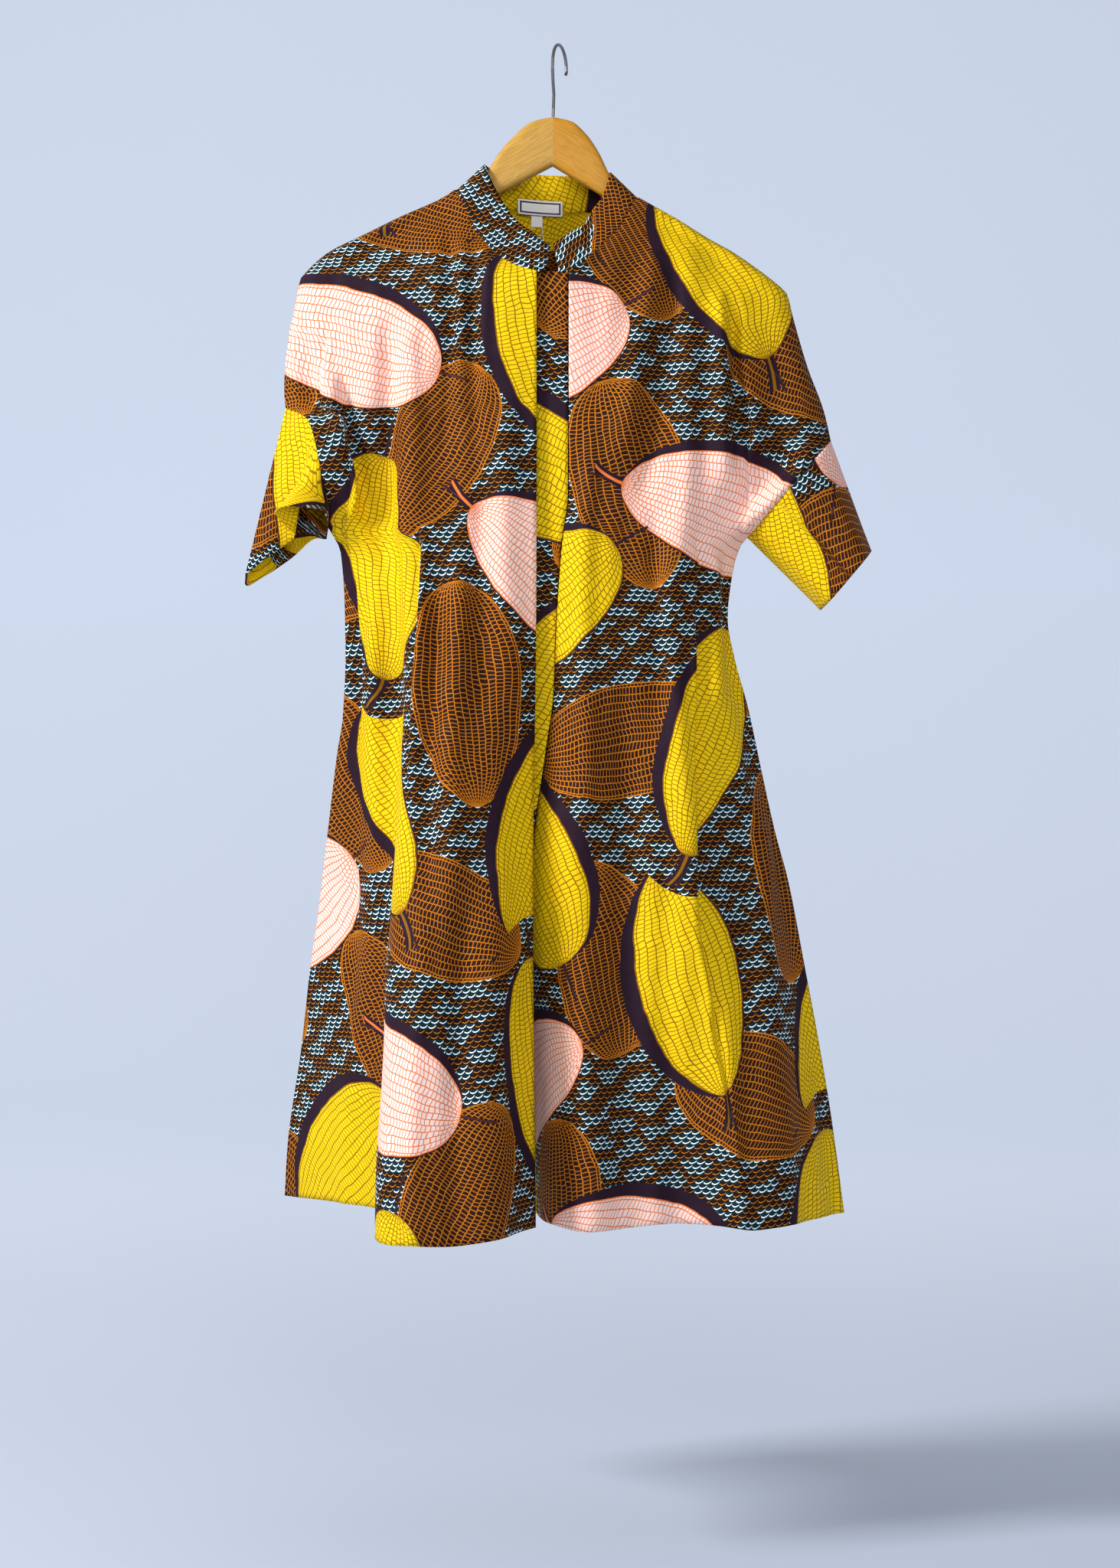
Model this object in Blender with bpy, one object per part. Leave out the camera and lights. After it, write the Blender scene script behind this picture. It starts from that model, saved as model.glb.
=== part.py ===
"""A short sleeve dress hanging on its wooden hanger.

The frame is the hook's seat: the origin is the top of the rail that the hook hangs on, +Z is up
and the front of the dress faces -Y. Tables are in millimetres: drop is the distance below the
seat, reach the distance outward from the hanger's centre line, forward the distance toward the
front. Each cloth panel is a set of level rows, from its neck or opening edge out to its shoulder,
sleeve seam and side seam, and its folds are fold lines that run down through those rows.
"""
import math

import bmesh
import bpy
import numpy as np

# Driving sizes, in metres
MM = 0.001
CLOTH_WALL = 0.0016
SEAM_GAP = 0.0004
HANGER_OFFSET = -0.0063
SHOULDER_LEAN = 6.0
SHOULDER_LEAN_REACH = 230.0
EDGE_ROLL = 9.0
EDGE_ROLL_SHARE = 0.12
EDGE_ROLL_OUT = 0.3
HEM_DROP = 1065.0
HEM_EASE_FROM = 560.0
YOKE_DROP = 147.0
CHEST_DROP = 226.0
YOKE_CURVE_FRONT = 1.35
YOKE_CURVE_BACK = 2.2
ARM_ROOM = 9.5
ARM_ROOM_WITHIN = 10.0
ROOM_DROP = 250.0
STEPS_BETWEEN_FOLDS = 2
COLLAR_ROWS = 2
SLEEVE_RINGS = 4
SLEEVE_SEAM_GAP = 0.0009
COLLAR_LIFT = 0.0016
PLACKET_WIDTH = 30.0
PLACKET_GAP = 0.9
PLACKET_COLUMNS = 3
WIRE_RADIUS = 0.0015
HOOK_INNER_RADIUS = 0.019
HOOK_TURN = math.radians(18)

# Rows down the garment, drop in mm
NECK_ROWS_LEFT = (132, 136, 141)
NECK_ROWS_RIGHT = (139, 141.5, 144)
ROWS = (147, 157, 168, 180, 190, 201, 212, 226, 240, 262, 284, 308, 331, 343, 361, 378, 396,
        414, 430, 440, 449, 462, 480, 503, 530, 565, 605, 650, 705, 762, 825, 885, 945, 1005, 1065)
LEVELS = (132, 226, 330, 480, 762, 1065)

# Outer edge of each side: (drop, reach) down the shoulder, the sleeve fold and the side seam
SHOULDER_RIGHT = ((137.6, 77.7), (157.9, 114.1), (176.1, 142.8), (187.3, 163.1), (202.7, 185.5),
                  (220.2, 207.9), (225.8, 213.5), (249.6, 219.8), (293, 232.4), (335, 247.8),
                  (361, 253.8))
SLEEVE_SEAM_RIGHT = ((361, 253.8), (449, 178))
SIDE_RIGHT = ((449, 178), (456, 172), (481, 164.5), (523, 160), (558, 166), (604, 178.5),
              (660, 190.4), (717, 203), (762, 215), (845, 231), (893, 240), (972, 253.4), (1065, 266))
SHOULDER_LEFT = ((126.4, 84), (136.9, 98), (155.8, 139.3), (171.2, 170.1), (189.4, 205.8),
                 (210.4, 228.2), (213.2, 230.3), (238.4, 235.2), (268.5, 241.5), (314.7, 245),
                 (331, 243.6))
SLEEVE_SEAM_LEFT_FRONT = ((331, 243.6), (343, 222), (396, 208), (425, 203), (440, 205))
SLEEVE_SEAM_LEFT_BACK = ((331, 243.6), (354, 252), (385, 259), (408, 240), (440, 205))
SIDE_LEFT = ((440, 205), (462, 194), (512, 190.5), (553, 190), (613, 193), (643, 198),
             (724, 209), (798, 219), (834, 225), (933, 238), (967, 244), (1013, 251), (1065, 255))
SIDE_DEPTH_LEFT = ((440, 0), (600, 15), (762, 50), (1065, 130))
SIDE_DEPTH_RIGHT = ((449, 0), (1065, -8))

# Neckline, from the shoulder down: (drop, reach, forward)
NECK_LEFT = ((131, 88, 4), (136, 86, 11.5), (168, 72, 24), (196.6, 48, 38), (209, 27, 50), (212, 14.4, 53))
NECK_RIGHT = ((138, 78, 4), (142, 75, 11.5), (168.3, 61, 24), (184, 47, 38), (205, 25, 50), (212, 14.6, 50))
NECK_BACK_LEFT = ((131, 88, -4), (133, 84, -11.5), (137, 74, -22), (142, 52, -36), (146, 20, -45), (147, 3, -46))
NECK_BACK_RIGHT = ((138, 78, -4), (139.5, 74, -11.5), (141.5, 66, -20), (144, 48, -34), (146.3, 20, -44), (147, -3, -46))

# Opening edges below the neck: (drop, x, forward); the left front laps over the right front
OPENING_LEFT = ((212, -14.4, 53), (330, -14.4, 52), (480, -14.5, 56), (762, -17, 84), (1065, -14.6, 118))
OPENING_RIGHT = ((212, 14.6, 50), (412, 14.6, 48), (460, 8.4, 48), (532, 3.5, 52), (592, 1.5, 55),
                 (643, -5.4, 58), (762, -20, 62), (1065, -14, 14))
CENTRE_BACK = ((147, -3, -46), (226, -3, -50), (330, -3, -62), (480, -3, -78), (762, -4, -120), (1065, -8, -168))

# Fold lines of each panel: share of the way from the opening to the side at each level,
# forward depth at each level, and how far the hem hangs below its level there
FRONT_LEFT_FOLDS = (
    ("slope", (0.12, 0.10, 0.10, 0.10, 0.09, 0.08), (6, 51, 54, 62, 104, 146), 2),
    ("crest", (0.28, 0.28, 0.28, 0.30, 0.25, 0.20), (6, 43, 49, 66, 128, 180), 6),
    ("brow", (0.42, 0.41, 0.42, 0.50, 0.45, 0.36), (6, 37, 41, 65, 132, 190), 8),
    ("flute edge", (0.50, 0.50, 0.53, 0.665, 0.605, 0.555), (6, 34, 38, 58, 118, 176), 7),
    ("flute root", (0.58, 0.58, 0.61, 0.72, 0.655, 0.595), (6, 31, 34, 36, 16, 4), -2),
    ("hollow", (0.76, 0.76, 0.78, 0.86, 0.82, 0.76), (5, 24, 27, 25, -10, -44), -3),
)
FRONT_RIGHT_FOLDS = (
    ("swell", (0.10, 0.08, 0.07, 0.07, 0.07, 0.05), (6, 48, 49, 55, 80, 96), 0),
    ("middle", (0.22, 0.20, 0.18, 0.16, 0.16, 0.16), (6, 43, 47, 58, 92, 128), 3),
    ("hollow", (0.44, 0.42, 0.40, 0.42, 0.42, 0.42), (6, 36, 41, 51, 76, 98), -1),
    ("lip", (0.60, 0.58, 0.56, 0.62, 0.63, 0.56), (6, 33, 37, 48, 84, 104), 0),
    ("tuck", (0.68, 0.66, 0.63, 0.70, 0.67, 0.68), (6, 29, 35, 43, 74, 122), 2),
    ("slope", (0.86, 0.84, 0.84, 0.88, 0.88, 0.90), (5, 19, 26, 26, 48, 52), 0),
)
BACK_LEFT_FOLDS = (
    ("inner", (0.22, 0.20, 0.18, 0.22, 0.22, 0.20), (-6, -45, -54, -72, -128, -196), 4),
    ("hollow", (0.45, 0.44, 0.42, 0.45, 0.45, 0.45), (-6, -34, -42, -60, -104, -158), 0),
    ("flute", (0.68, 0.66, 0.66, 0.72, 0.72, 0.74), (-6, -25, -34, -46, -104, -186), 3),
    ("slope", (0.86, 0.85, 0.84, 0.88, 0.90, 0.92), (-4, -15, -24, -26, -78, -160), 0),
)
BACK_RIGHT_FOLDS = (
    ("inner", (0.22, 0.20, 0.18, 0.22, 0.22, 0.20), (-6, -44, -55, -76, -134, -200), 4),
    ("hollow", (0.45, 0.44, 0.42, 0.45, 0.45, 0.42), (-6, -34, -42, -60, -98, -150), 0),
    ("flute", (0.68, 0.66, 0.66, 0.70, 0.70, 0.68), (-6, -25, -34, -44, -92, -168), 3),
    ("slope", (0.86, 0.85, 0.84, 0.88, 0.90, 0.90), (-5, -17, -26, -24, -46, -84), 0),
)

# Sleeve ends: (reach, drop, forward) round the cuff, from its outer corner along the front to
# the underarm and home along the back
SEAM_OPENING = 42.0
CUFF_RIGHT_OUTER = (291.2, 461.0, 0.0)
CUFF_RIGHT_UNDER = (245.0, 515.2, 0.0)
CUFF_RIGHT_DEPTH = 52.0
CUFF_LEFT_FRONT = ((281, 483, 2), (262, 452, 24), (250, 432, 42), (233, 424, 56), (218, 425, 50),
                   (207, 430, 34), (207, 450, -4))
CUFF_LEFT_BACK = ((281, 483, 2), (281, 491.5, -22), (248, 469.2, -42), (222, 449, -30), (207, 450, -4))

# Placket's hidden edge: (drop, forward)
PLACKET_HIDDEN = ((212, 46), (330, 45), (480, 46), (762, 54), (1065, -6))

# Collar band: (x, drop, forward) along its top edge from the left end round the back
COLLAR_TOP = ((-2, 187, 33), (-15.9, 175, 29), (-33.3, 161.6, 23), (-50.2, 135.5, 15), (-61, 112, 11),
              (-62.5, 107, 0), (-59, 108.5, -12), (-50, 110.5, -24), (-26.3, 111.5, -38),
              (-0.8, 110.5, -44), (17.7, 113, -42), (40, 114, -27), (51, 114.5, -12), (53.5, 114, 0),
              (52, 119, 11), (44.7, 140.4, 16), (37.6, 149.8, 20), (27.8, 166.7, 25),
              (16.7, 173.6, 29), (0.6, 185, 33))
COLLAR_END_LEFT = (-6.8, 212, 54)
COLLAR_END_RIGHT = (5.6, 212, 52)

# Hanger halves: (reach, top drop, bottom drop, half thickness) from the centre joint to the tip
ARM_TO_COLLAR_LEFT = ((0.3, 65, 109, 10), (18, 69, 118.4, 10), (37, 84, 128.4, 9.3), (50, 99, 135, 8.6),
                      (60, 114.5, 140.5, 7.4), (76, 128.5, 150, 6.4))
ARM_TO_COLLAR_RIGHT = ((0.3, 65, 109, 10), (17, 69, 119.2, 10), (31, 81, 127.6, 9.3), (42, 97, 134.4, 8.6),
                       (53, 118.5, 142, 7.4), (68, 134, 157, 6.4))
ARM_HEIGHT_AT_COLLAR = 25.0
ARM_HEIGHT_AT_TIP = 17.0
ARM_HALF_AT_TIP = 5.0
ARM_HALF_AT_COLLAR = 6.2
ARM_SIDES = 12
ARM_CLEARANCE = 3.4
ARM_FIRST_REACH = {"left": 96.0, "right": 88.0}
ARM_REACH_MOST = {"left": 231.0, "right": 214.0}
ARM_SHORT_OF_SHOULDER = 8.0
ARM_SECTIONS = 7
ARM_TIP_ROUND = 9.0
ARM_TIP_SHARE = 0.12
# Roundness of the arm's section along its reach, a low power giving a flat face: (reach, side, top)
ARM_ROUNDNESS = ((0, 0.40, 0.60), (45, 0.45, 0.65), (88, 0.80, 0.90))
SHANK = ((-5.9, 0, 64.0), (-5.6, 1, 56), (-5.2, 7, 45), (-6.0, 15, 34), (-6.4, 19.8, 24))
HOOK_TIP = 3.0
HOOK_TIP_CURL = ((0.5, 0.97), (1.0, 0.9))
HOOK_STEPS = 12

# Woven label and size tab on the inside of the back collar:
# x from, x to, height, drop of the top edge, forward, bow, in mm
LABEL = (-32.0, 9.0, 14.0, 135.0, -39.8, 7.5)
SIZE_TAB = (-20.0, -9.5, 10.5, 149.1, -41.2, 1.5)
TRIM_TILT = 0.05
TRIM_COLUMNS = 4
TRIM_ROWS = 2
TRIM_THICK = 0.0005


def clear_scene():
    """Start from an empty scene."""
    for thing in list(bpy.data.objects):
        bpy.data.objects.remove(thing, do_unlink=True)


def smooth_through(knots, values, at):
    """Value at a place along a smooth curve through knots, without overshoot."""
    knots = np.asarray(knots, float)
    values = np.asarray(values, float)
    step = np.diff(knots)
    rise = np.diff(values) / step
    slope = np.zeros(len(knots))
    for k in range(1, len(knots) - 1):
        if rise[k - 1] * rise[k] > 0:
            slope[k] = 2 * rise[k - 1] * rise[k] / (rise[k - 1] + rise[k])
    slope[0] = rise[0]
    slope[-1] = rise[-1]
    k = int(np.clip(np.searchsorted(knots, at) - 1, 0, len(step) - 1))
    t = min(max((at - knots[k]) / step[k], 0.0), 1.0)
    h = step[k]
    return (values[k] * (1 + 2 * t) * (1 - t) ** 2 + slope[k] * h * t * (1 - t) ** 2
            + values[k + 1] * t * t * (3 - 2 * t) + slope[k + 1] * h * t * t * (t - 1))


def read_table(table, at, column=1):
    """One column of a table whose first column is the drop."""
    return smooth_through([row[0] for row in table], [row[column] for row in table], at)


def curve_point(points, at):
    """Point at share 0 to 1 of the knots of a curve through points, spaced by their distances."""
    points = np.asarray(points, float)
    gaps = np.sqrt(np.linalg.norm(np.diff(points, axis=0), axis=1)) + 1e-6
    knots = np.concatenate([[0], np.cumsum(gaps)])
    place = at * (len(points) - 1)
    k = min(int(place), len(points) - 2)
    t = place - k
    before = points[k - 1] if k > 0 else points[k] * 2 - points[k + 1]
    after = points[k + 2] if k + 2 < len(points) else points[k + 1] * 2 - points[k]
    h0 = gaps[k - 1] if k > 0 else gaps[k]
    h1 = knots[k + 1] - knots[k]
    h2 = gaps[k + 1] if k + 2 < len(points) else gaps[k]
    start = points[k]
    end = points[k + 1]
    leave = h1 * ((start - before) / h0 - (end - before) / (h0 + h1) + (end - start) / h1)
    arrive = h1 * ((end - start) / h1 - (after - start) / (h1 + h2) + (after - end) / h2)
    return (start * (1 + 2 * t) * (1 - t) ** 2 + leave * t * (1 - t) ** 2
            + end * t * t * (3 - 2 * t) + arrive * t * t * (t - 1))


def along_curve(points, share):
    """Point at a share of the length of a curve through points."""
    shares = arc_shares(np.asarray(points, float))
    place = np.interp(share, shares, np.arange(len(points)))
    return curve_point(points, place / (len(points) - 1))


def room_at(distance):
    """How far the cloth stands off the shoulder line's plane, round a hanger arm's top."""
    near = min(1.0, distance / ARM_ROOM_WITHIN)
    return ARM_ROOM * math.sqrt(1 - (1 - near) ** 2)


def shoulder_forward(reach):
    """The hanger's arms lean forward toward their tips."""
    return SHOULDER_LEAN * (reach / SHOULDER_LEAN_REACH) ** 1.5


def outer_edge(side, face, drop):
    """Reach and forward of a panel's outer edge, and whether it is a folded or a side edge."""
    right = side == "right"
    shoulder = SHOULDER_RIGHT if right else SHOULDER_LEFT
    body = SIDE_RIGHT if right else SIDE_LEFT
    if right:
        seam = SLEEVE_SEAM_RIGHT
    else:
        seam = SLEEVE_SEAM_LEFT_FRONT if face == "front" else SLEEVE_SEAM_LEFT_BACK
    sign = 1 if face == "front" else -1
    if drop <= shoulder[-1][0]:
        reach = read_table(shoulder, drop)
        return reach, shoulder_forward(reach), True
    if drop < body[0][0]:
        along = (drop - shoulder[-1][0]) / (body[0][0] - shoulder[-1][0])
        middle = shoulder_forward(shoulder[-1][1]) * (1 - along)
        opening = SEAM_OPENING * math.sin(math.pi * along) ** 0.6
        return read_table(seam, drop), middle + sign * opening, False
    depth = -read_table(SIDE_DEPTH_RIGHT if right else SIDE_DEPTH_LEFT, drop)
    return read_table(body, drop), depth, True


def inner_edge(side, face, drop):
    """Signed x and forward of a panel's inner edge: neckline, opening or centre back."""
    sign = 1 if side == "right" else -1
    if face == "front":
        neck = NECK_RIGHT if side == "right" else NECK_LEFT
        opening = OPENING_RIGHT if side == "right" else OPENING_LEFT
    else:
        neck = NECK_BACK_RIGHT if side == "right" else NECK_BACK_LEFT
        opening = CENTRE_BACK
    if drop < neck[-1][0]:
        return sign * read_table(neck, drop), read_table(neck, drop, 2)
    return read_table(opening, drop), read_table(opening, drop, 2)


def fold_table(side, face):
    """Fold lines of one side of one face."""
    if face == "front":
        return FRONT_RIGHT_FOLDS if side == "right" else FRONT_LEFT_FOLDS
    return BACK_RIGHT_FOLDS if side == "right" else BACK_LEFT_FOLDS


def panel_row(side, face, drop):
    """Points of one row of the cloth's outer face, from the inner edge to the outer edge."""
    sign = 1 if side == "right" else -1
    facing = 1 if face == "front" else -1
    inner_x, inner_forward = inner_edge(side, face, drop)
    reach, outer_forward, folded = outer_edge(side, face, drop)
    outer_x = sign * reach
    yoke_curve = YOKE_CURVE_FRONT if face == "front" else YOKE_CURVE_BACK
    chest = min(max((drop - YOKE_DROP) / (CHEST_DROP - YOKE_DROP), 0.0), 1.0)
    stations = [(inner_x, inner_forward, 0.0)]
    for name, shares, depths, sag in fold_table(side, face):
        share = smooth_through(LEVELS, shares, drop)
        yoke = outer_forward + (inner_forward - outer_forward) * (1 - share ** yoke_curve)
        forward = smooth_through(LEVELS, depths, drop) * chest + yoke * (1 - chest)
        x = inner_x + share * (outer_x - inner_x)
        room = shoulder_forward(abs(x)) + facing * room_at(abs(outer_x - x))
        if drop < ROOM_DROP:
            forward = max(forward, room) if facing > 0 else min(forward, room)
        stations.append((x, forward, sag))
    width = abs(outer_x - inner_x)
    roll = min(EDGE_ROLL, width * EDGE_ROLL_SHARE)
    if folded:
        outer_forward += facing * SEAM_GAP / MM / 2
        rolled = outer_forward + facing * room_at(roll)
    else:
        rolled = outer_forward + facing * roll * EDGE_ROLL_OUT
    stations.append((outer_x - sign * roll, rolled, 0.0))
    stations.append((outer_x, outer_forward, 0.0))
    hem_share = max(0.0, (drop - HEM_EASE_FROM) / (HEM_DROP - HEM_EASE_FROM)) ** 2
    flat = [(x, forward, drop + sag * hem_share) for x, forward, sag in stations]
    count = (len(flat) - 1) * STEPS_BETWEEN_FOLDS
    return [curve_point(flat, j / count) for j in range(count + 1)]


def to_world(point):
    """Metres in the seat's frame, from x, forward and drop in mm."""
    return np.array([point[0] * MM + HANGER_OFFSET, -point[1] * MM, -point[2] * MM])


def panel_grid(side, face):
    """World points of one side of a panel, its rows from the neck down, and the row drops."""
    top = NECK_ROWS_RIGHT if side == "right" else NECK_ROWS_LEFT
    drops = list(top) + list(ROWS)
    rows = [[to_world(p) for p in panel_row(side, face, d)] for d in drops]
    return np.array(rows), drops


def grid_normals(grid, facing):
    """Unit normals of a grid of points, turned to the given side."""
    down = np.gradient(grid, axis=0)
    across = np.gradient(grid, axis=1)
    normal = np.cross(across, down)
    normal /= np.linalg.norm(normal, axis=2, keepdims=True) + 1e-12
    return normal * facing


def edge_normals(line, outward):
    """Normals in the plane of the front view along an edge, pointing away from the panel."""
    run = np.gradient(line, axis=0)
    normal = np.stack([run[:, 2], np.zeros(len(line)), -run[:, 0]], axis=1)
    normal /= np.linalg.norm(normal, axis=1, keepdims=True) + 1e-12
    turn = np.where(normal[:, 0] * outward < 0, -1.0, 1.0)
    return normal * turn[:, None]


def grid_faces(rows, columns, start, flip):
    """Quads of a grid whose points are numbered row by row from start."""
    faces = []
    for i in range(rows - 1):
        for j in range(columns - 1):
            a = start + i * columns + j
            quad = (a, a + 1, a + columns + 1, a + columns)
            faces.append(quad[::-1] if flip else quad)
    return faces


def border(rows, columns):
    """Numbers of a grid's border points, in order round it."""
    top = [j for j in range(columns)]
    right = [i * columns + columns - 1 for i in range(1, rows)]
    bottom = [(rows - 1) * columns + j for j in range(columns - 2, -1, -1)]
    left = [i * columns for i in range(rows - 2, 0, -1)]
    return top + right + bottom + left


def solid_sheet(name, outer, inner, colour, rough, closed=False):
    """A closed wall between two grids of points with the same layout."""
    rows, columns = outer.shape[:2]
    if closed:
        outer = np.concatenate([outer, outer[:, :1]], axis=1)
        inner = np.concatenate([inner, inner[:, :1]], axis=1)
        columns += 1
    count = rows * columns
    points = list(outer.reshape(-1, 3)) + list(inner.reshape(-1, 3))
    faces = grid_faces(rows, columns, 0, False) + grid_faces(rows, columns, count, True)
    if closed:
        loops = [[j for j in range(columns)], [(rows - 1) * columns + j for j in range(columns - 1, -1, -1)]]
        for loop in loops:
            for a, b in zip(loop[:-1], loop[1:]):
                faces.append((b, a, a + count, b + count))
    else:
        loop = border(rows, columns)
        for a, b in zip(loop, loop[1:] + loop[:1]):
            faces.append((b, a, a + count, b + count))
    return finish_mesh(name, points, faces, colour, rough)


def finish_mesh(name, points, faces, colour, rough, metal=0.0):
    """A named object with its own material, its faces pointing out."""
    mesh = bpy.data.meshes.new(name)
    mesh.from_pydata([tuple(map(float, p)) for p in points], [], [tuple(f) for f in faces])
    work = bmesh.new()
    work.from_mesh(mesh)
    bmesh.ops.remove_doubles(work, verts=work.verts, dist=0.00001)
    bmesh.ops.triangulate(work, faces=work.faces)
    bmesh.ops.recalc_face_normals(work, faces=work.faces)
    if work.calc_volume(signed=True) < 0:
        bmesh.ops.reverse_faces(work, faces=work.faces)
    work.to_mesh(mesh)
    work.free()
    mesh.shade_smooth()
    mesh.set_sharp_from_angle(angle=math.radians(50))
    thing = bpy.data.objects.new(name, mesh)
    bpy.context.scene.collection.objects.link(thing)
    material = bpy.data.materials.new(name)
    material.use_nodes = True
    shader = material.node_tree.nodes["Principled BSDF"]
    shader.inputs["Base Color"].default_value = (*colour, 1.0)
    shader.inputs["Roughness"].default_value = rough
    shader.inputs["Metallic"].default_value = metal
    mesh.materials.append(material)
    return thing


def panel_shell(side, face):
    """Outer points and inner points of one side of a front or of the back."""
    grid, drops = panel_grid(side, face)
    sign = 1 if side == "right" else -1
    facing = -sign if face == "front" else sign
    normal = grid_normals(grid, facing)
    edge = edge_normals(grid[:, -1], sign)
    folded = np.array([outer_edge(side, face, d)[2] for d in drops])
    normal[folded, -1] = edge[folded]
    inner = grid - normal * CLOTH_WALL
    limit = grid[folded, -1:, 1]
    keep = np.minimum if face == "front" else np.maximum
    inner[folded, :, 1] = keep(inner[folded, :, 1], limit)
    inner[folded, -1, 1] = grid[folded, -1, 1]
    return grid, inner, normal


def make_front(side, name):
    """One front, cut in one with its upper sleeve."""
    grid, inner, normal = panel_shell(side, "front")
    solid_sheet(name, grid, inner, (0.16, 0.09, 0.04), 0.75)
    return grid, normal


def make_back(name):
    """The back: two halves that meet on the centre line, as one solid with a neckline between."""
    left, left_inner, left_normal = panel_shell("left", "back")
    right, right_inner, right_normal = panel_shell("right", "back")
    top = len(NECK_ROWS_LEFT)
    middle = (left_inner[top:, 0] + right_inner[top:, 0]) / 2
    left_inner[top:, 0] = middle
    right_inner[top:, 0] = middle
    rows, columns = left.shape[:2]
    count = rows * columns
    points = []
    for grid in (left, left_inner, right, right_inner):
        points.extend(grid.reshape(-1, 3))
    faces = []
    loop = border(rows, columns)
    centre = set(i * columns for i in range(top, rows))
    for start in (0, 2 * count):
        faces += grid_faces(rows, columns, start, False)
        faces += grid_faces(rows, columns, start + count, True)
        for a, b in zip(loop, loop[1:] + loop[:1]):
            if a in centre and b in centre:
                continue
            faces.append((b + start, a + start, a + start + count, b + start + count))
    finish_mesh(name, points, faces, (0.14, 0.08, 0.04), 0.75)
    return left, left_normal, right, right_normal


def ring_normals(rings, centre):
    """Unit normals of rings of points, pointing away from a middle line."""
    down = np.gradient(rings, axis=0)
    around = (np.roll(rings, -1, axis=1) - np.roll(rings, 1, axis=1)) / 2
    normal = np.cross(around, down)
    normal /= np.linalg.norm(normal, axis=2, keepdims=True) + 1e-12
    away = rings - centre[:, None, :]
    turn = np.sign((normal * away).sum(axis=2).mean())
    return normal * turn


def arc_shares(line):
    """Share of the length of a line of points at each point."""
    steps = np.linalg.norm(np.diff(line, axis=0), axis=1)
    total = np.concatenate([[0], np.cumsum(steps)])
    return total / total[-1]


def cuff_point(side, face, share):
    """World point of the cuff's edge at a share of the way from its outer corner to the underarm."""
    sign = 1 if side == "right" else -1
    facing = 1 if face == "front" else -1
    if side == "right":
        outer = np.array(CUFF_RIGHT_OUTER)
        under = np.array(CUFF_RIGHT_UNDER)
        angle = math.pi * share
        blend = (1 - math.cos(angle)) / 2
        spot = outer * (1 - blend) + under * blend
        spot[2] += facing * CUFF_RIGHT_DEPTH * math.sin(angle)
    else:
        spot = along_curve(CUFF_LEFT_FRONT if face == "front" else CUFF_LEFT_BACK, share)
    return to_world((sign * spot[0], spot[2], spot[1]))


def make_sleeve(side, name, front, back):
    """The sewn-on lower sleeve: rings from the armhole seam of both panels to the cuff."""
    front_edge, front_out = front
    back_edge, back_out = back
    front_share = arc_shares(front_edge)
    back_share = arc_shares(back_edge)
    mouth = np.concatenate([front_edge, back_edge[-2:0:-1]])
    cuff = [cuff_point(side, "front", s) for s in front_share]
    cuff += [cuff_point(side, "back", s) for s in back_share[-2:0:-1]]
    cuff = np.array(cuff)
    mouth_out = np.concatenate([front_out, back_out[-2:0:-1]])
    mouth_out[0] = 0.5 * (front_out[0] + back_out[0])
    under = len(front_edge) - 1
    tube = ring_normals(np.array([mouth, (mouth + cuff) / 2, cuff]), np.array([mouth.mean(axis=0)] * 3))
    mouth_out[under] = tube[0][under]
    seam_run = np.roll(mouth, -1, axis=0) - np.roll(mouth, 1, axis=0)
    across = np.cross(mouth_out, seam_run)
    across /= np.linalg.norm(across, axis=1, keepdims=True)
    across *= np.sign((across * (cuff.mean(axis=0) - mouth.mean(axis=0))).sum(axis=1, keepdims=True))
    mouth = mouth + across * SLEEVE_SEAM_GAP
    rings = np.array([mouth + (cuff - mouth) * (k / SLEEVE_RINGS) for k in range(SLEEVE_RINGS + 1)])
    centre = rings.mean(axis=1)
    normal = ring_normals(rings, centre)
    normal[0] = mouth_out
    inner = rings - normal * CLOTH_WALL
    solid_sheet(name, rings, inner, (0.55, 0.45, 0.05), 0.75, closed=True)


def make_collar(neck_line, neck_normal):
    """The standing collar band, from the neckline's own points up to its top edge."""
    shares = arc_shares(neck_line)
    top = np.array([to_world(along_curve([(x, f, d) for x, d, f in COLLAR_TOP], s)) for s in shares])
    rise = top - neck_line
    rise /= np.linalg.norm(rise, axis=1, keepdims=True)
    foot = neck_line + rise * COLLAR_LIFT
    rings = np.array([foot + (top - foot) * (k / COLLAR_ROWS) for k in range(COLLAR_ROWS + 1)])
    normal = grid_normals(rings, 1)
    middle = rings.mean(axis=(0, 1))
    if ((rings - middle) * normal).sum() < 0:
        normal = -normal
    normal[0] = neck_normal
    inner = rings - normal * CLOTH_WALL
    solid_sheet("collar", rings, inner, (0.12, 0.07, 0.04), 0.75)


def make_placket():
    """The button stand: a strip on the right front's edge that runs under the left front."""
    drops = [d for d in ROWS if d >= NECK_RIGHT[-1][0]]
    rows = []
    for drop in drops:
        x, forward = inner_edge("right", "front", drop)
        hidden = read_table(PLACKET_HIDDEN, drop)
        near = to_world((x - PLACKET_GAP, forward, drop))
        far = to_world((x - PLACKET_WIDTH, hidden, drop))
        rows.append([near + (far - near) * (k / PLACKET_COLUMNS) for k in range(PLACKET_COLUMNS + 1)])
    grid = np.array(rows)
    normal = grid_normals(grid, 1)
    inner = grid - normal * CLOTH_WALL
    solid_sheet("placket", grid, inner, (0.5, 0.25, 0.05), 0.75)


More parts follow.
